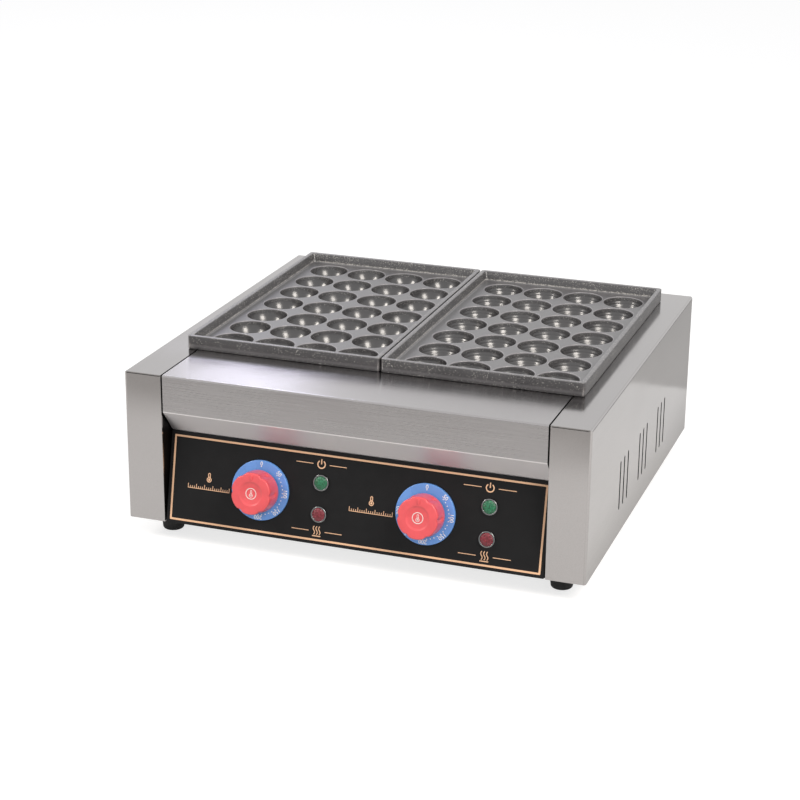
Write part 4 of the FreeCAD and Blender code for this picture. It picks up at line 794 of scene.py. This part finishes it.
def new_tree(name, inputs):
    """Geometry Nodes tree with named inputs. Returns it, its inputs' identifiers and their outputs."""
    tree = bpy.data.node_groups.new(name, "GeometryNodeTree")
    sockets = {}
    for key, kind in inputs.items():
        made = tree.interface.new_socket(key, in_out="INPUT", socket_type="NodeSocket" + kind)
        sockets[key] = made.identifier
    tree.interface.new_socket("Geometry", in_out="OUTPUT", socket_type="NodeSocketGeometry")
    return tree, sockets, add_node(tree, "NodeGroupInput", out=None).outputs


def plate_tree():
    """Cup tiles on a grid, joined with the casting's border."""
    tree, sockets, given = new_tree("cup_plate", {
        "Tile": "Object", "Border": "Object", "Columns": "Int", "Rows": "Int",
        "Width": "Float", "Depth": "Float", "Place": "Vector", "Coating": "Material"})
    grid = add_node(tree, "GeometryNodeMeshGrid", {
        "Size X": given["Width"], "Size Y": given["Depth"],
        "Vertices X": given["Columns"], "Vertices Y": given["Rows"]}, out="Mesh")
    tile = add_node(tree, "GeometryNodeObjectInfo", {"Object": given["Tile"]}, out="Geometry")
    border = add_node(tree, "GeometryNodeObjectInfo", {"Object": given["Border"]}, out="Geometry")
    tiles = add_node(tree, "GeometryNodeInstanceOnPoints", {"Points": grid, "Instance": tile})
    loose = add_node(tree, "GeometryNodeRealizeInstances", {"Geometry": tiles})
    joined = add_node(tree, "GeometryNodeJoinGeometry", {"Geometry": loose}, out=None)
    tree.links.new(border, joined.inputs["Geometry"])
    sewn = add_node(tree, "GeometryNodeMergeByDistance", {
        "Geometry": joined.outputs[0], "Distance": 2e-6})
    moved = add_node(tree, "GeometryNodeTransform", {"Geometry": sewn, "Translation": given["Place"]})
    real = add_node(tree, "GeometryNodeRealizeInstances", {"Geometry": moved})
    coated = add_node(tree, "GeometryNodeSetMaterial", {"Geometry": real, "Material": given["Coating"]})
    add_node(tree, "NodeGroupOutput", coated, out=None)
    return tree, sockets


def grown(name, tree, sockets, values):
    """Runs a tree on an empty object and returns the result as a plain mesh."""
    carrier = add_object(name + "_carrier", bpy.data.meshes.new(name + "_carrier"))
    modifier = carrier.modifiers.new("Grow", "NODES")
    modifier.node_group = tree
    for key, value in values.items():
        modifier[sockets[key]] = value
    mesh = evaluated_copy(carrier, name)
    bpy.data.objects.remove(carrier)
    return mesh


class TAKOYAKI_OT_grill_plates(bpy.types.Operator):
    """Both cup plates, each one casting of tiles and border"""
    bl_idname = "takoyaki.grill_plates"
    bl_label = "Grill plates"

    def execute(self, context):
        sizes = context.scene.takoyaki.plate
        colour = tuple(context.scene.takoyaki.colours.coating)
        low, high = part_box("left_grill_plate")
        half_x, half_y = (high.x - low.x) / 2, (high.y - low.y) / 2
        tile = add_object("cup_tile_model", tile_mesh(sizes))
        border = add_object("border_model", rim_mesh(sizes, half_x, half_y))
        tree, sockets = plate_tree()
        for hand, ring_depth in zip(HANDS, (0.00001, 0.00005)):
            low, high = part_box(hand + "_grill_plate")
            material = stone_coating("sprayed_ptfe_on_cast_aluminium_" + hand, colour, low, high,
                                     sizes, ring_depth)
            mesh = grown(hand + "_cup_plate", tree, sockets, {
                "Tile": tile, "Border": border, "Columns": sizes.columns, "Rows": sizes.rows,
                "Width": (sizes.columns - 1) * sizes.pitch, "Depth": (sizes.rows - 1) * sizes.pitch,
                "Place": tuple(floor_middle(low, high, sizes)), "Coating": material})
            mesh.shade_smooth()
            plate = add_object(hand + "_cup_plate", mesh)
            finish_piece(plate, hand + "_plate", material, [hand + "_grill_plate"])
        bpy.data.objects.remove(tile)
        bpy.data.objects.remove(border)
        return {"FINISHED"}


# ---------------------------------------------------------------- knobs

def dish_height(sizes, radius):
    """Height of the knob's face over its foot. The dish is a shallow bowl in a ramp of 25 degrees."""
    bowl_radius = sizes.dish_radius - 0.0017
    ramp = max(0.0, min(1.0, (sizes.dish_radius + 0.0001 - radius) / 0.0018))
    bowl = max(0.0, 1 - (radius / bowl_radius) ** 2)
    return sizes.height - sizes.dish_depth * (0.52 * ramp + 0.48 * bowl)


def smooth_step(value, low, high):
    t = max(0.0, min(1.0, (value - low) / (high - low)))
    return t * t * (3 - 2 * t)


def knob_mesh(sizes, place):
    """Round skirt, lobed grip, rounded edge, dished face and a hollow back with its hub."""
    edge, foot = 0.0012, 0.0008
    top_z = sizes.height - edge
    outside = [(sizes.radius - foot + foot * math.sin(t), foot - foot * math.cos(t))
               for t in [math.pi / 2 * i / 4 for i in range(5)]]
    outside += [(sizes.radius, z * MM) for z in (1.5, 2.6, 3.6, 4.3, 4.8, 5.2, 5.6, 6.1, 6.8, 8.0)]
    for i in range(1, 7):
        z = 0.008 + (top_z - 0.008) * i / 6
        outside.append((sizes.radius + (sizes.face_radius - sizes.radius) * z / sizes.height, z))
    outside += [(sizes.face_radius - edge + edge * math.cos(t), top_z + edge * math.sin(t))
                for t in [math.pi / 2 * i / 6 for i in range(1, 7)]]
    outside += [(r * MM, sizes.height) for r in (18.0, 16.0, 14.2, 13.2)]
    dish = [12.8 - 0.2 * i for i in range(14)] + [9.8, 9.0, 8.0, 6.0, 4.0, 2.0, 0.0]
    outside += [(r * MM, dish_height(sizes, r * MM)) for r in dish]
    roof = sizes.height - sizes.dish_depth - 0.002
    inside = [(0.0, roof), (0.0172, roof), (0.0176, 0.005), (0.0193, 0.0049), (0.0193, 0.0)]

    def lobed(radius, height, angle):
        beat = math.cos(sizes.lobes * (angle - math.pi / 2) / 2)
        notch = math.exp(-((beat / 0.36) ** 2))
        reach = smooth_step(height, 0.0046, 0.0072) * smooth_step(radius, 0.0125, 0.0175)
        return radius - sizes.hollow * notch * reach

    count = 180
    points, faces = lathe(outside, count, lobed)
    hollow = lathe(inside, count)
    hub = lathe([(0.0, roof), (0.0055, roof), (0.0055, 0.0), (0.0031, 0.0), (0.0031, roof - 0.001),
                 (0.0, roof - 0.001)], 48)
    shell = merged([(points, faces), hollow])
    last = len(points) + (len(inside) - 1) * count
    for i in range(count):
        j = (i + 1) % count
        shell[1].append((last + i, last + j, j, i))
    body = new_mesh("knob_body", *shell, place)
    core = new_mesh("knob_hub", *hub, place)
    return join_meshes("knob", [body, core, pointer_mesh(sizes, place)])


def pointer_mesh(sizes, place):
    """Raised rib on the face from the dish to the edge, with rounded ends and edges."""
    half, start, end = 0.0012, 0.0136, sizes.face_radius - 0.0014
    outline = arc((0, end - half), half, 0, 180, 8) + arc((0, start + half), half, 180, 360, 8)
    loops = []
    for inset, height in ((0, -0.001), (0, 0.0005), (0.00025, 0.00075), (0.0006, 0.0008)):
        middle = (start + end) / 2
        shrink_x = (half - inset) / half
        shrink_y = ((end - start) / 2 - inset) / ((end - start) / 2)
        loops += [(x * shrink_x, middle + (y - middle) * shrink_y, sizes.height + height)
                  for x, y in outline]
    count = len(outline)
    faces = ring_faces(4, count)
    faces += [tuple(range(count)), tuple(range(3 * count, 4 * count))]
    return new_mesh("knob_pointer", loops, faces, place)


def knob_sign(sizes, ink, place):
    """Printed ring with a plain thermometer in it, on the dish."""
    parts = []
    count = 64
    ring_in = [(0.0048 * math.cos(2 * math.pi * i / count), 0.0048 * math.sin(2 * math.pi * i / count))
               for i in range(count)]
    ring_out = [(x * 5.7 / 4.8, y * 5.7 / 4.8) for x, y in ring_in]
    parts.append(slab(ring_out, ring_in, 0.0, ink))
    parts += thermometer((0.0, -0.0037), 0.0074, ink)
    points, faces = merged(parts)
    seated = [(x, y, z + dish_height(sizes, math.hypot(x, y))) for x, y, z in points]
    return new_mesh("knob_sign", seated, faces, place)


class TAKOYAKI_OT_knobs(bpy.types.Operator):
    """Both thermostat knobs with the sign printed on their faces"""
    bl_idname = "takoyaki.knobs"
    bl_label = "Knobs"

    def execute(self, context):
        settings = context.scene.takoyaki
        red = moulded_plastic("glossy_moulded_abs_red", tuple(settings.colours.knob), 0.34, 0.000012,
                              Coat_Weight=0.4, Coat_Roughness=0.1)
        white = printed_ink("pad_printed_ink_white", linear("F6DEDC"), 0.4)
        for hand in HANDS:
            place = panel_place(hand, settings.knob.lift)
            piece = add_object(hand + "_grip_knob", knob_mesh(settings.knob, place))
            finish_piece(piece, hand + "_control", red, [hand + "_knob"])
            sign = add_object(hand + "_knob_sign", knob_sign(settings.knob, settings.label.ink, place))
            finish_piece(sign, hand + "_control", white)
        return {"FINISHED"}


# ---------------------------------------------------------------- scales

def dot_tree():
    """Round dots on an arc, clockwise from an angle."""
    tree, sockets, given = new_tree("scale_dots", {
        "Count": "Int", "Radius": "Float", "First Angle": "Float", "Step": "Float",
        "Dot Radius": "Float", "Thickness": "Float", "Ink": "Material"})
    index = add_node(tree, "GeometryNodeInputIndex")
    turned = add_node(tree, "ShaderNodeMath", index, given["Step"], operation="MULTIPLY")
    angle = add_node(tree, "ShaderNodeMath", turned, given["First Angle"], operation="ADD")
    flat = []
    for operation in ("SINE", "COSINE"):
        share = add_node(tree, "ShaderNodeMath", angle, operation=operation)
        flat.append(add_node(tree, "ShaderNodeMath", share, given["Radius"], operation="MULTIPLY"))
    place = add_node(tree, "ShaderNodeCombineXYZ", *flat)
    points = add_node(tree, "GeometryNodePoints", {"Count": given["Count"], "Position": place})
    dot = add_node(tree, "GeometryNodeMeshCylinder", {
        "Vertices": 12, "Radius": given["Dot Radius"], "Depth": given["Thickness"]}, out="Mesh")
    dots = add_node(tree, "GeometryNodeInstanceOnPoints", {"Points": points, "Instance": dot})
    real = add_node(tree, "GeometryNodeRealizeInstances", {"Geometry": dots})
    inked = add_node(tree, "GeometryNodeSetMaterial", {"Geometry": real, "Material": given["Ink"]})
    add_node(tree, "NodeGroupOutput", inked, out=None)
    return tree, sockets


def number_mesh(text, height, place, ink):
    """A number as a thin solid, centred on its place."""
    curve = bpy.data.curves.new("number", "FONT")
    curve.body = text
    curve.size = height * 1.38
    curve.align_x = "CENTER"
    curve.align_y = "CENTER"
    curve.extrude = ink / 2
    curve.offset = height * 0.022
    writer = add_object("number_writer", curve)
    mesh = evaluated_copy(writer, "number")
    bpy.data.objects.remove(writer)
    mesh.transform(place)
    return mesh


class TAKOYAKI_OT_scales(bpy.types.Operator):
    """Blue scales under the knobs, with their numbers and dots"""
    bl_idname = "takoyaki.scales"
    bl_label = "Scales"

    def execute(self, context):
        settings = context.scene.takoyaki
        label = settings.label
        blue = moulded_plastic("glossy_moulded_abs_blue", tuple(settings.colours.scale), 0.26, 0.00001,
                               Coat_Weight=0.2, Coat_Roughness=0.12)
        white = printed_ink("screen_printed_ink_white", linear("EDF2FA"), 0.4)
        tree, sockets = dot_tree()
        for hand in HANDS:
            set_node_material([hand + "_dial_plate"], blue)
            face = panel_place(hand, 0.003 + label.ink / 2)
            dots = grown("scale_dots", tree, sockets, {
                "Count": 26, "Radius": label.scale_radius, "First Angle": label.first_angle,
                "Step": label.step_angle / 5, "Dot Radius": 0.00062, "Thickness": label.ink,
                "Ink": white})
            zero = grown("zero_dot", tree, sockets, {
                "Count": 1, "Radius": label.scale_radius, "First Angle": 0.0, "Step": 0.0,
                "Dot Radius": 0.0007, "Thickness": label.ink, "Ink": white})
            meshes = [dots, zero]
            for mesh in meshes:
                mesh.transform(face)
            for i in range(7):
                angle = label.first_angle + (i - 1) * label.step_angle if i else 0.0
                turn = Matrix.Rotation(-angle, 4, "Z") @ Matrix.Translation((0, label.number_radius, 0))
                meshes.append(number_mesh(str(50 * i), label.number_height, face @ turn, label.ink))
            printed = join_meshes(hand + "_scale_print", meshes)
            finish_piece(add_object(hand + "_scale_print", printed), "housing", white)
        return {"FINISHED"}


# ---------------------------------------------------------------- control label

def ribbon(path, width):
    """Outline pieces of a line of constant width through flat points."""
    parts = []
    for a, b in zip(path, path[1:]):
        a, b = Vector(a), Vector(b)
        along = (b - a).normalized() * (width * 0.12)
        side = Vector((-(b - a).y, (b - a).x)).normalized() * (width / 2)
        corners = (a - along - side, b + along - side, b + along + side, a - along + side)
        parts.append([tuple(p) for p in corners])
    return parts


def line_slabs(path, width, ink):
    return [slab(outline, None, 0.0, ink) for outline in ribbon(path, width)]


def round_ring(centre, radius, width, ink, start, end):
    """Part of a ring, between two angles in degrees."""
    steps = 40
    outer = arc(centre, radius + width / 2, start, end, steps)
    inner = arc(centre, radius - width / 2, start, end, steps)
    return slab(outer + inner[::-1], None, 0.0, ink)


def heat_sign(centre, size, ink):
    """Three rising wavy lines over a short bar."""
    parts = line_slabs([(centre[0] - size * 0.45, centre[1] - size * 0.5),
                        (centre[0] + size * 0.45, centre[1] - size * 0.5)], size * 0.1, ink)
    for i in (-1, 0, 1):
        path = []
        for step in range(13):
            t = step / 12
            path.append((centre[0] + i * size * 0.3 + size * 0.09 * math.sin(2 * math.pi * t),
                         centre[1] + (t * 0.85 - 0.35) * size))
        parts += line_slabs(path, size * 0.1, ink)
    return parts


def power_sign(centre, size, ink):
    """Open ring with an upright stroke."""
    ring = round_ring(centre, size * 0.4, size * 0.12, ink, 125, 415)
    stroke = [(centre[0], centre[1] + size * 0.02), (centre[0], centre[1] + size * 0.52)]
    return [ring] + line_slabs(stroke, size * 0.12, ink)


def thermometer(foot, height, ink):
    """Outline of a thermometer that stands on a point, with its column inside."""
    bulb = (foot[0], foot[1] + height * 0.27)
    top = (foot[0], foot[1] + height * 0.86)
    outer = arc(top, height * 0.14, 0, 180, 10) + arc(bulb, height * 0.27, 122, 418, 20)
    inner = arc(top, height * 0.06, 0, 180, 10) + arc(bulb, height * 0.18, 112, 428, 20)
    column = arc((foot[0], foot[1] + height * 0.6), height * 0.035, 0, 180, 10)
    column += arc(bulb, height * 0.11, 108, 432, 20)
    return [slab(outer, inner, 0.0, ink), slab(column, None, 0.0, ink)]


def tick_scale(centre, width, height, ticks, ink):
    """Straight row of ticks on a base line, every fourth one taller."""
    low = centre[1] - height / 2
    ends = [(centre[0] - width / 2, low), (centre[0] + width / 2, low)]
    parts = line_slabs(ends, height * 0.14, ink)
    for i in range(ticks):
        x = centre[0] + (i / (ticks - 1) - 0.5) * width
        tall = height if i % 4 == 0 else height * 0.55
        parts += line_slabs([(x, low), (x, low + tall)], height * 0.14, ink)
    return parts


def side_rules(centre, inner, outer, width, ink):
    """Two level strokes, one on each side of a sign."""
    parts = []
    for side in (-1, 1):
        ends = [(centre[0] + side * inner, centre[1]), (centre[0] + side * outer, centre[1])]
        parts += line_slabs(ends, width, ink)
    return parts


def rounded_rectangle(low, high, radius):
    """Outline with 8 steps at each corner."""
    points = []
    for start, x, y in ((-90, high[0], low[1]), (0, high[0], high[1]), (90, low[0], high[1]),
                        (180, low[0], low[1])):
        cx = x - radius if x == high[0] else x + radius
        cy = y - radius if y == high[1] else y + radius
        points += arc((cx, cy), radius, start, start + 90, 8)
    return points


class TAKOYAKI_OT_control_label(bpy.types.Operator):
    """Black control label with its gold frame line and plain signs"""
    bl_idname = "takoyaki.control_label"
    bl_label = "Control label"

    def execute(self, context):
        settings = context.scene.takoyaki
        label = settings.label
        black = moulded_plastic("satin_printed_polyester_black", tuple(settings.colours.label), 0.36,
                                0.000015, Specular_IOR_Level=0.15)
        set_node_material(["panel_overlay"], black)
        gold = printed_ink("screen_printed_ink_gold", tuple(settings.colours.gold), 0.45)
        place = panel_place("left")
        back = place.inverted()
        low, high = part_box("panel_overlay")
        front_low = back @ Vector((low.x, low.y, low.z))
        tilt_up = back @ Vector((high.x, high.y, high.z))
        inset = label.frame_inset
        lower = (front_low.x + inset, front_low.y + inset)
        upper = (tilt_up.x - inset, tilt_up.y - label.frame_top_inset)
        line = label.frame_line
        outer = rounded_rectangle(lower, upper, 0.0005)
        inner_lower = (lower[0] + line, lower[1] + line)
        inner_upper = (upper[0] - line, upper[1] - line)
        inner = rounded_rectangle(inner_lower, inner_upper, 0.0003)
        parts = [slab(outer, inner, 0.0, label.ink)]
        pitch = JOINTS["right_knob_turn"]["pos_m"][0] - JOINTS["left_knob_turn"]["pos_m"][0]
        scale_side, lamp_side, power_rise, heat_rise = -0.0555, 0.061, 0.0335, -0.0325
        sign_size = 0.0095
        for i in (0, 1):
            x = i * pitch
            parts += thermometer((x + scale_side, 0.0), sign_size, label.ink)
            parts += tick_scale((x + scale_side, -0.0055), 0.044, 0.0042, 21, label.ink)
            for sign, rise in ((power_sign, power_rise), (heat_sign, heat_rise)):
                parts += sign((x + lamp_side, rise), sign_size, label.ink)
                parts += side_rules((x + lamp_side, rise), 0.0085, 0.026, 0.0007, label.ink)
        points, faces = merged(parts)
        mesh = new_mesh("label_print", points, faces, place)
        mesh.shade_flat()
        finish_piece(add_object("label_print", mesh), "housing", gold)
        return {"FINISHED"}


# ---------------------------------------------------------------- lamps

class TAKOYAKI_OT_lamps(bpy.types.Operator):
    """Four indicator lamps: domed faceted lenses in polished rings"""
    bl_idname = "takoyaki.lamps"
    bl_label = "Lamps"

    def execute(self, context):
        tilt = math.asin(-Vector(JOINTS["left_knob_turn"]["axis"]).z)
        # each lens's own dark tint, and the lighter tint of its painted glints
        tones = {"green": ("064A2A", "2FA070"), "red": ("560610", "AC3046")}
        slots = {"green": "lens_green", "red": "lens_red"}
        lenses = {}
        for colour, (dark, light) in tones.items():
            lenses[colour] = faceted_lens("tinted_polycarbonate_" + colour, linear(dark),
                                          linear(light), tilt)
        chrome = plated_chrome("polished_chrome_on_abs", linear("7C7E7E"))
        for hand in HANDS:
            for purpose, colour in LAMP_COLOURS.items():
                set_node_material([f"{hand}_{purpose}_lamp_bezel"], chrome)
                self.add_lens(f"{hand}_{purpose}", panel_place(hand), lenses[colour], slots[colour])
        return {"FINISHED"}

    def add_lens(self, name, place, material, slot):
        """A low dome with a flat step round it, in place of the plain disc."""
        low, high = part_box(name + "_lamp_lens")
        middle = place.inverted() @ ((low + high) / 2)
        seat = place @ Matrix.Translation((middle.x, middle.y, 0))
        profile = [(0.0, 0.0), (6.5, 0.0), (6.5, 1.9), (6.35, 2.2), (5.9, 2.35), (5.5, 2.4), (5.3, 2.6)]
        profile += [(4.8, 2.85), (4.0, 3.08), (3.0, 3.25), (2.0, 3.33), (1.0, 3.38), (0.0, 3.4)]
        points, faces = lathe([(r * MM, z * MM) for r, z in profile], 48)
        dome = add_object(name + "_lens_dome", new_mesh(name + "_lens_dome", points, faces, seat))
        finish_piece(dome, "housing", material, [name + "_lamp_lens"])


# ---------------------------------------------------------------- sheet metal and the rest

class TAKOYAKI_OT_sheet_metal(bpy.types.Operator):
    """Brushed and plain steel finishes of the body's sheets and the hardware"""
    bl_idname = "takoyaki.sheet_metal"
    bl_label = "Sheet metal"

    def execute(self, context):
        colours = context.scene.takoyaki.colours
        # the top and front sheet takes a painted shadow along its ends, a painted reflection on the chin
        # and a painted highlight along the fold
        across = brushed_steel("brushed_stainless_top", tuple(colours.top_steel), (0.06, 0.0007, 0.0007),
                               0.18, end_seams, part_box("front_top_panel"), 0.8, 0.08)
        set_node_material(["front_top_panel", "control_panel"], across)
        # the rear sheets take a painted shadow along their ends
        rear = brushed_steel("brushed_stainless_rear", tuple(colours.top_steel), (0.06, 0.0007, 0.0007),
                             0.22, end_seams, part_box("rear_cover"), 0.8)
        set_node_material(["rear_ledge", "rear_cover"], rear)
        for hand, side in zip(HANDS, (-1, 1)):
            casing = hand + "_side_casing"
            low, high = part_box(casing)
            # the box ends 0.5 mm nearer the machine's middle, so that the fold's flank counts as inside and
            # takes the painted shade
            low.x, high.x = (low.x, high.x + 0.0005) if side < 0 else (low.x - 0.0005, high.x)
            # the casings' inner faces and slot edges take painted shade, and their top faces keep 0.84 of
            # their colour as painted shade
            satin = brushed_steel(f"satin_stainless_{hand}_casing", tuple(colours.steel),
                                  (0.0007, 0.06, 0.0007), 0.12, inner_faces, (low, high), painted_top_shade=0.84)
            set_node_material([casing], satin)
        pan = rolled_steel("aluminised_steel_sheet", linear("A6A6A4"), 0.42)
        set_node_material(["heat_shield", "centre_divider", "base_plate", "heater_combs"], pan)
        zinc = rolled_steel("zinc_plated_steel", linear("C2C2C0"), 0.3)
        hardware = ["rear_screws", "base_screws", "foot_screws", "foot_nuts", "heater_nuts",
                    "thermostat_screws", "left_spindle", "right_spindle"]
        set_node_material(hardware, zinc)
        return {"FINISHED"}


class TAKOYAKI_OT_feet_and_inner_parts(bpy.types.Operator):
    """Finishes of the feet, the inlet and everything inside the body"""
    bl_idname = "takoyaki.feet_and_inner_parts"
    bl_label = "Feet and inner parts"

    def execute(self, context):
        rubber = moulded_rubber("moulded_rubber_black", linear("161616"))
        feet = [f"{end}_{hand}_foot" for end in ("front", "rear") for hand in HANDS]
        set_node_material(feet, rubber)
        sheath = rolled_steel("heat_stained_stainless_tube", linear("5A524E"), 0.4)
        set_node_material(["left_heater", "right_heater"], sheath)
        copper = rolled_steel("drawn_copper", linear("C07A54"), 0.28)
        set_node_material(["left_sensor", "right_sensor"], copper)
        brass = rolled_steel("turned_brass", linear("C9A45A"), 0.28)
        set_node_material(["earth_stud", "earth_nuts", "terminal_screws"], brass)
        nylon = moulded_plastic("moulded_nylon_black", linear("1E1E1F"), 0.5, 0.00006)
        black_parts = ["cable_gland", "gland_locknut", "lamp_nuts"]
        for hand in HANDS:
            black_parts += [f"{hand}_{purpose}_lamp_body" for purpose in LAMP_COLOURS]
        set_node_material(black_parts, nylon)
        phenolic = moulded_plastic("moulded_phenolic_beige", linear("B4A284"), 0.55, 0.00006)
        set_node_material(["left_thermostat", "right_thermostat"], phenolic)
        steatite = moulded_plastic("pressed_steatite_white", linear("E4E1D8"), 0.5, 0.00006)
        set_node_material(["terminal_block"], steatite)
        return {"FINISHED"}


# ---------------------------------------------------------------- stage

def seen_directly(tree):
    """1 for rays from the camera and for what metal and glass show of the background."""
    path = add_node(tree, "ShaderNodeLightPath", out=None).outputs
    both = add_node(tree, "ShaderNodeMath", path["Is Camera Ray"], path["Is Glossy Ray"],
                    operation="MAXIMUM")
    return add_node(tree, "ShaderNodeMath", both, path["Is Transmission Ray"], operation="MAXIMUM")


def add_lamp(name, sides, power, colour, place, target):
    """Rectangular area lamp that faces a point."""
    data = bpy.data.lights.new(name, "AREA")
    data.shape = "RECTANGLE"
    data.size, data.size_y = sides
    data.energy = power
    data.color = colour
    lamp = add_object(name, data)
    lamp.location = place
    lamp.rotation_euler = (Vector(target) - Vector(place)).to_track_quat("-Z", "Y").to_euler()


class TAKOYAKI_OT_stage(bpy.types.Operator):
    """Pale floor, even sky, three soft lamps and the camera"""
    bl_idname = "takoyaki.stage"
    bl_label = "Stage"

    def execute(self, context):
        settings = context.scene.takoyaki.stage
        self.add_world(settings)
        self.add_floor()
        warm, cool = linear("FFF8F0"), linear("E8E8FF")
        middle = (0, 0, 0.1)
        add_lamp("key_lamp", (0.75, 1.0), settings.key, warm, (1.19, -0.87, 1.37), middle)
        add_lamp("fill_lamp", (0.45, 0.55), settings.fill, warm, (-1.35, -0.8, 1.16), middle)
        add_lamp("rear_lamp", (0.38, 0.8), settings.rear, cool, (-1.43, 2.5, 2.12), (-0.2, 0, 0.15))
        self.add_camera(settings)
        view = context.scene.view_settings
        view.view_transform = "Standard"
        return {"FINISHED"}

    def add_world(self, settings):
        world = bpy.data.worlds.new("even_sky")
        world.use_nodes = True
        tree = world.node_tree
        tree.nodes.clear()
        direct = seen_directly(tree)
        strength = add_node(tree, "ShaderNodeMapRange", direct, 0.0, 1.0, settings.sky, 1.0)
        sky = add_node(tree, "ShaderNodeBackground", {"Color": (1, 1, 1, 1), "Strength": strength})
        add_node(tree, "ShaderNodeOutputWorld", {"Surface": sky}, out=None)
        bpy.context.scene.world = world

    def add_floor(self):
        """Paper that looks white, and greyer in what metal shows of it away from the object."""
        points = [(-9, -9, 0), (9, -9, 0), (9, 9, 0), (-9, 9, 0)]
        mesh = bpy.data.meshes.new("studio_floor")
        mesh.from_pydata(points, [], [(0, 1, 2, 3)])
        floor = add_object("studio_floor", mesh)
        material = bpy.data.materials.new("white_paper")
        material.use_nodes = True
        tree = material.node_tree
        tree.nodes.clear()
        grey, white, everywhere = 0.42, 0.72, 0.28
        paper = add_node(tree, "ShaderNodeBsdfDiffuse", {"Color": (grey, grey, grey, 1)})
        place = add_node(tree, "ShaderNodeTexCoord", out="Object")
        across, deep, _ = add_node(tree, "ShaderNodeSeparateXYZ", place, out=None).outputs
        front = add_node(tree, "ShaderNodeMapRange", deep, -0.64, -0.54, 0.42, 0)
        rear = add_node(tree, "ShaderNodeMapRange", deep, 0.41, 0.42, 0, 0.3)
        near = add_node(tree, "ShaderNodeMapRange", across, 0.245, 0.275, 0.22, 0)
        right = add_node(tree, "ShaderNodeMath", across, 0.234, operation="GREATER_THAN")
        beside = add_node(tree, "ShaderNodeMath", near, right, operation="MULTIPLY")
        share = add_node(tree, "ShaderNodeMath", front, rear, operation="ADD")
        for part in (beside, everywhere):
            share = add_node(tree, "ShaderNodeMath", share, part, operation="ADD")
        glossy = add_node(tree, "ShaderNodeLightPath", out="Is Glossy Ray")
        dim = add_node(tree, "ShaderNodeMath", share, glossy, operation="MULTIPLY")
        bright = add_node(tree, "ShaderNodeMath", seen_directly(tree), white, operation="MULTIPLY")
        glow = add_node(tree, "ShaderNodeMath", bright, dim, operation="SUBTRACT")
        shine = add_node(tree, "ShaderNodeEmission", {"Color": (1, 1, 1, 1), "Strength": glow})
        both = add_node(tree, "ShaderNodeAddShader", paper, shine)
        add_node(tree, "ShaderNodeOutputMaterial", {"Surface": both}, out=None)
        floor.data.materials.append(material)

    def add_camera(self, settings):
        data = bpy.data.cameras.new("camera")
        data.lens = settings.lens
        data.sensor_width = 36
        data.clip_end = 50
        camera = add_object("camera", data)
        sin_a, cos_a = math.sin(settings.azimuth), math.cos(settings.azimuth)
        sin_e, cos_e = math.sin(settings.elevation), math.cos(settings.elevation)
        back = Vector((sin_a * cos_e, -cos_a * cos_e, sin_e))
        right = Vector((cos_a, sin_a, 0))
        up = back.cross(right)
        turn = Matrix((right, up, back)).transposed().to_4x4() @ Matrix.Rotation(settings.roll, 4, "Z")
        target = Vector((-0.010638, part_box("left_side_casing")[0].y + 0.176, 0.114159))
        camera.matrix_world = Matrix.Translation(target + back * settings.distance) @ turn
        bpy.context.scene.camera = camera


# ---------------------------------------------------------------- panel and run

OPERATORS = (TAKOYAKI_OT_sheet_metal, TAKOYAKI_OT_feet_and_inner_parts, TAKOYAKI_OT_grill_plates,
             TAKOYAKI_OT_control_label, TAKOYAKI_OT_scales, TAKOYAKI_OT_knobs, TAKOYAKI_OT_lamps,
             TAKOYAKI_OT_stage)


class TAKOYAKI_PT_parts(bpy.types.Panel):
    """Lists the steps that build the takoyaki maker's finishes"""
    bl_label = "Takoyaki maker"
    bl_space_type = "VIEW_3D"
    bl_region_type = "UI"
    bl_category = "Takoyaki"

    def draw(self, context):
        for operator in OPERATORS:
            self.layout.operator(operator.bl_idname)


CLASSES = (TakoyakiPlateSizes, TakoyakiKnobSizes, TakoyakiLabelSizes, TakoyakiSheetSizes, TakoyakiColours,
           TakoyakiStage, TakoyakiSettings) + OPERATORS + (TAKOYAKI_PT_parts,)


def register():
    for made in CLASSES:
        bpy.utils.register_class(made)
    bpy.types.Scene.takoyaki = PointerProperty(type=TakoyakiSettings)


def unregister():
    del bpy.types.Scene.takoyaki
    for made in reversed(CLASSES):
        bpy.utils.unregister_class(made)


def main():
    register()
    for operator in OPERATORS:
        group, name = operator.bl_idname.split(".")
        getattr(getattr(bpy.ops, group), name)()


if __name__ == "__main__":
    main()
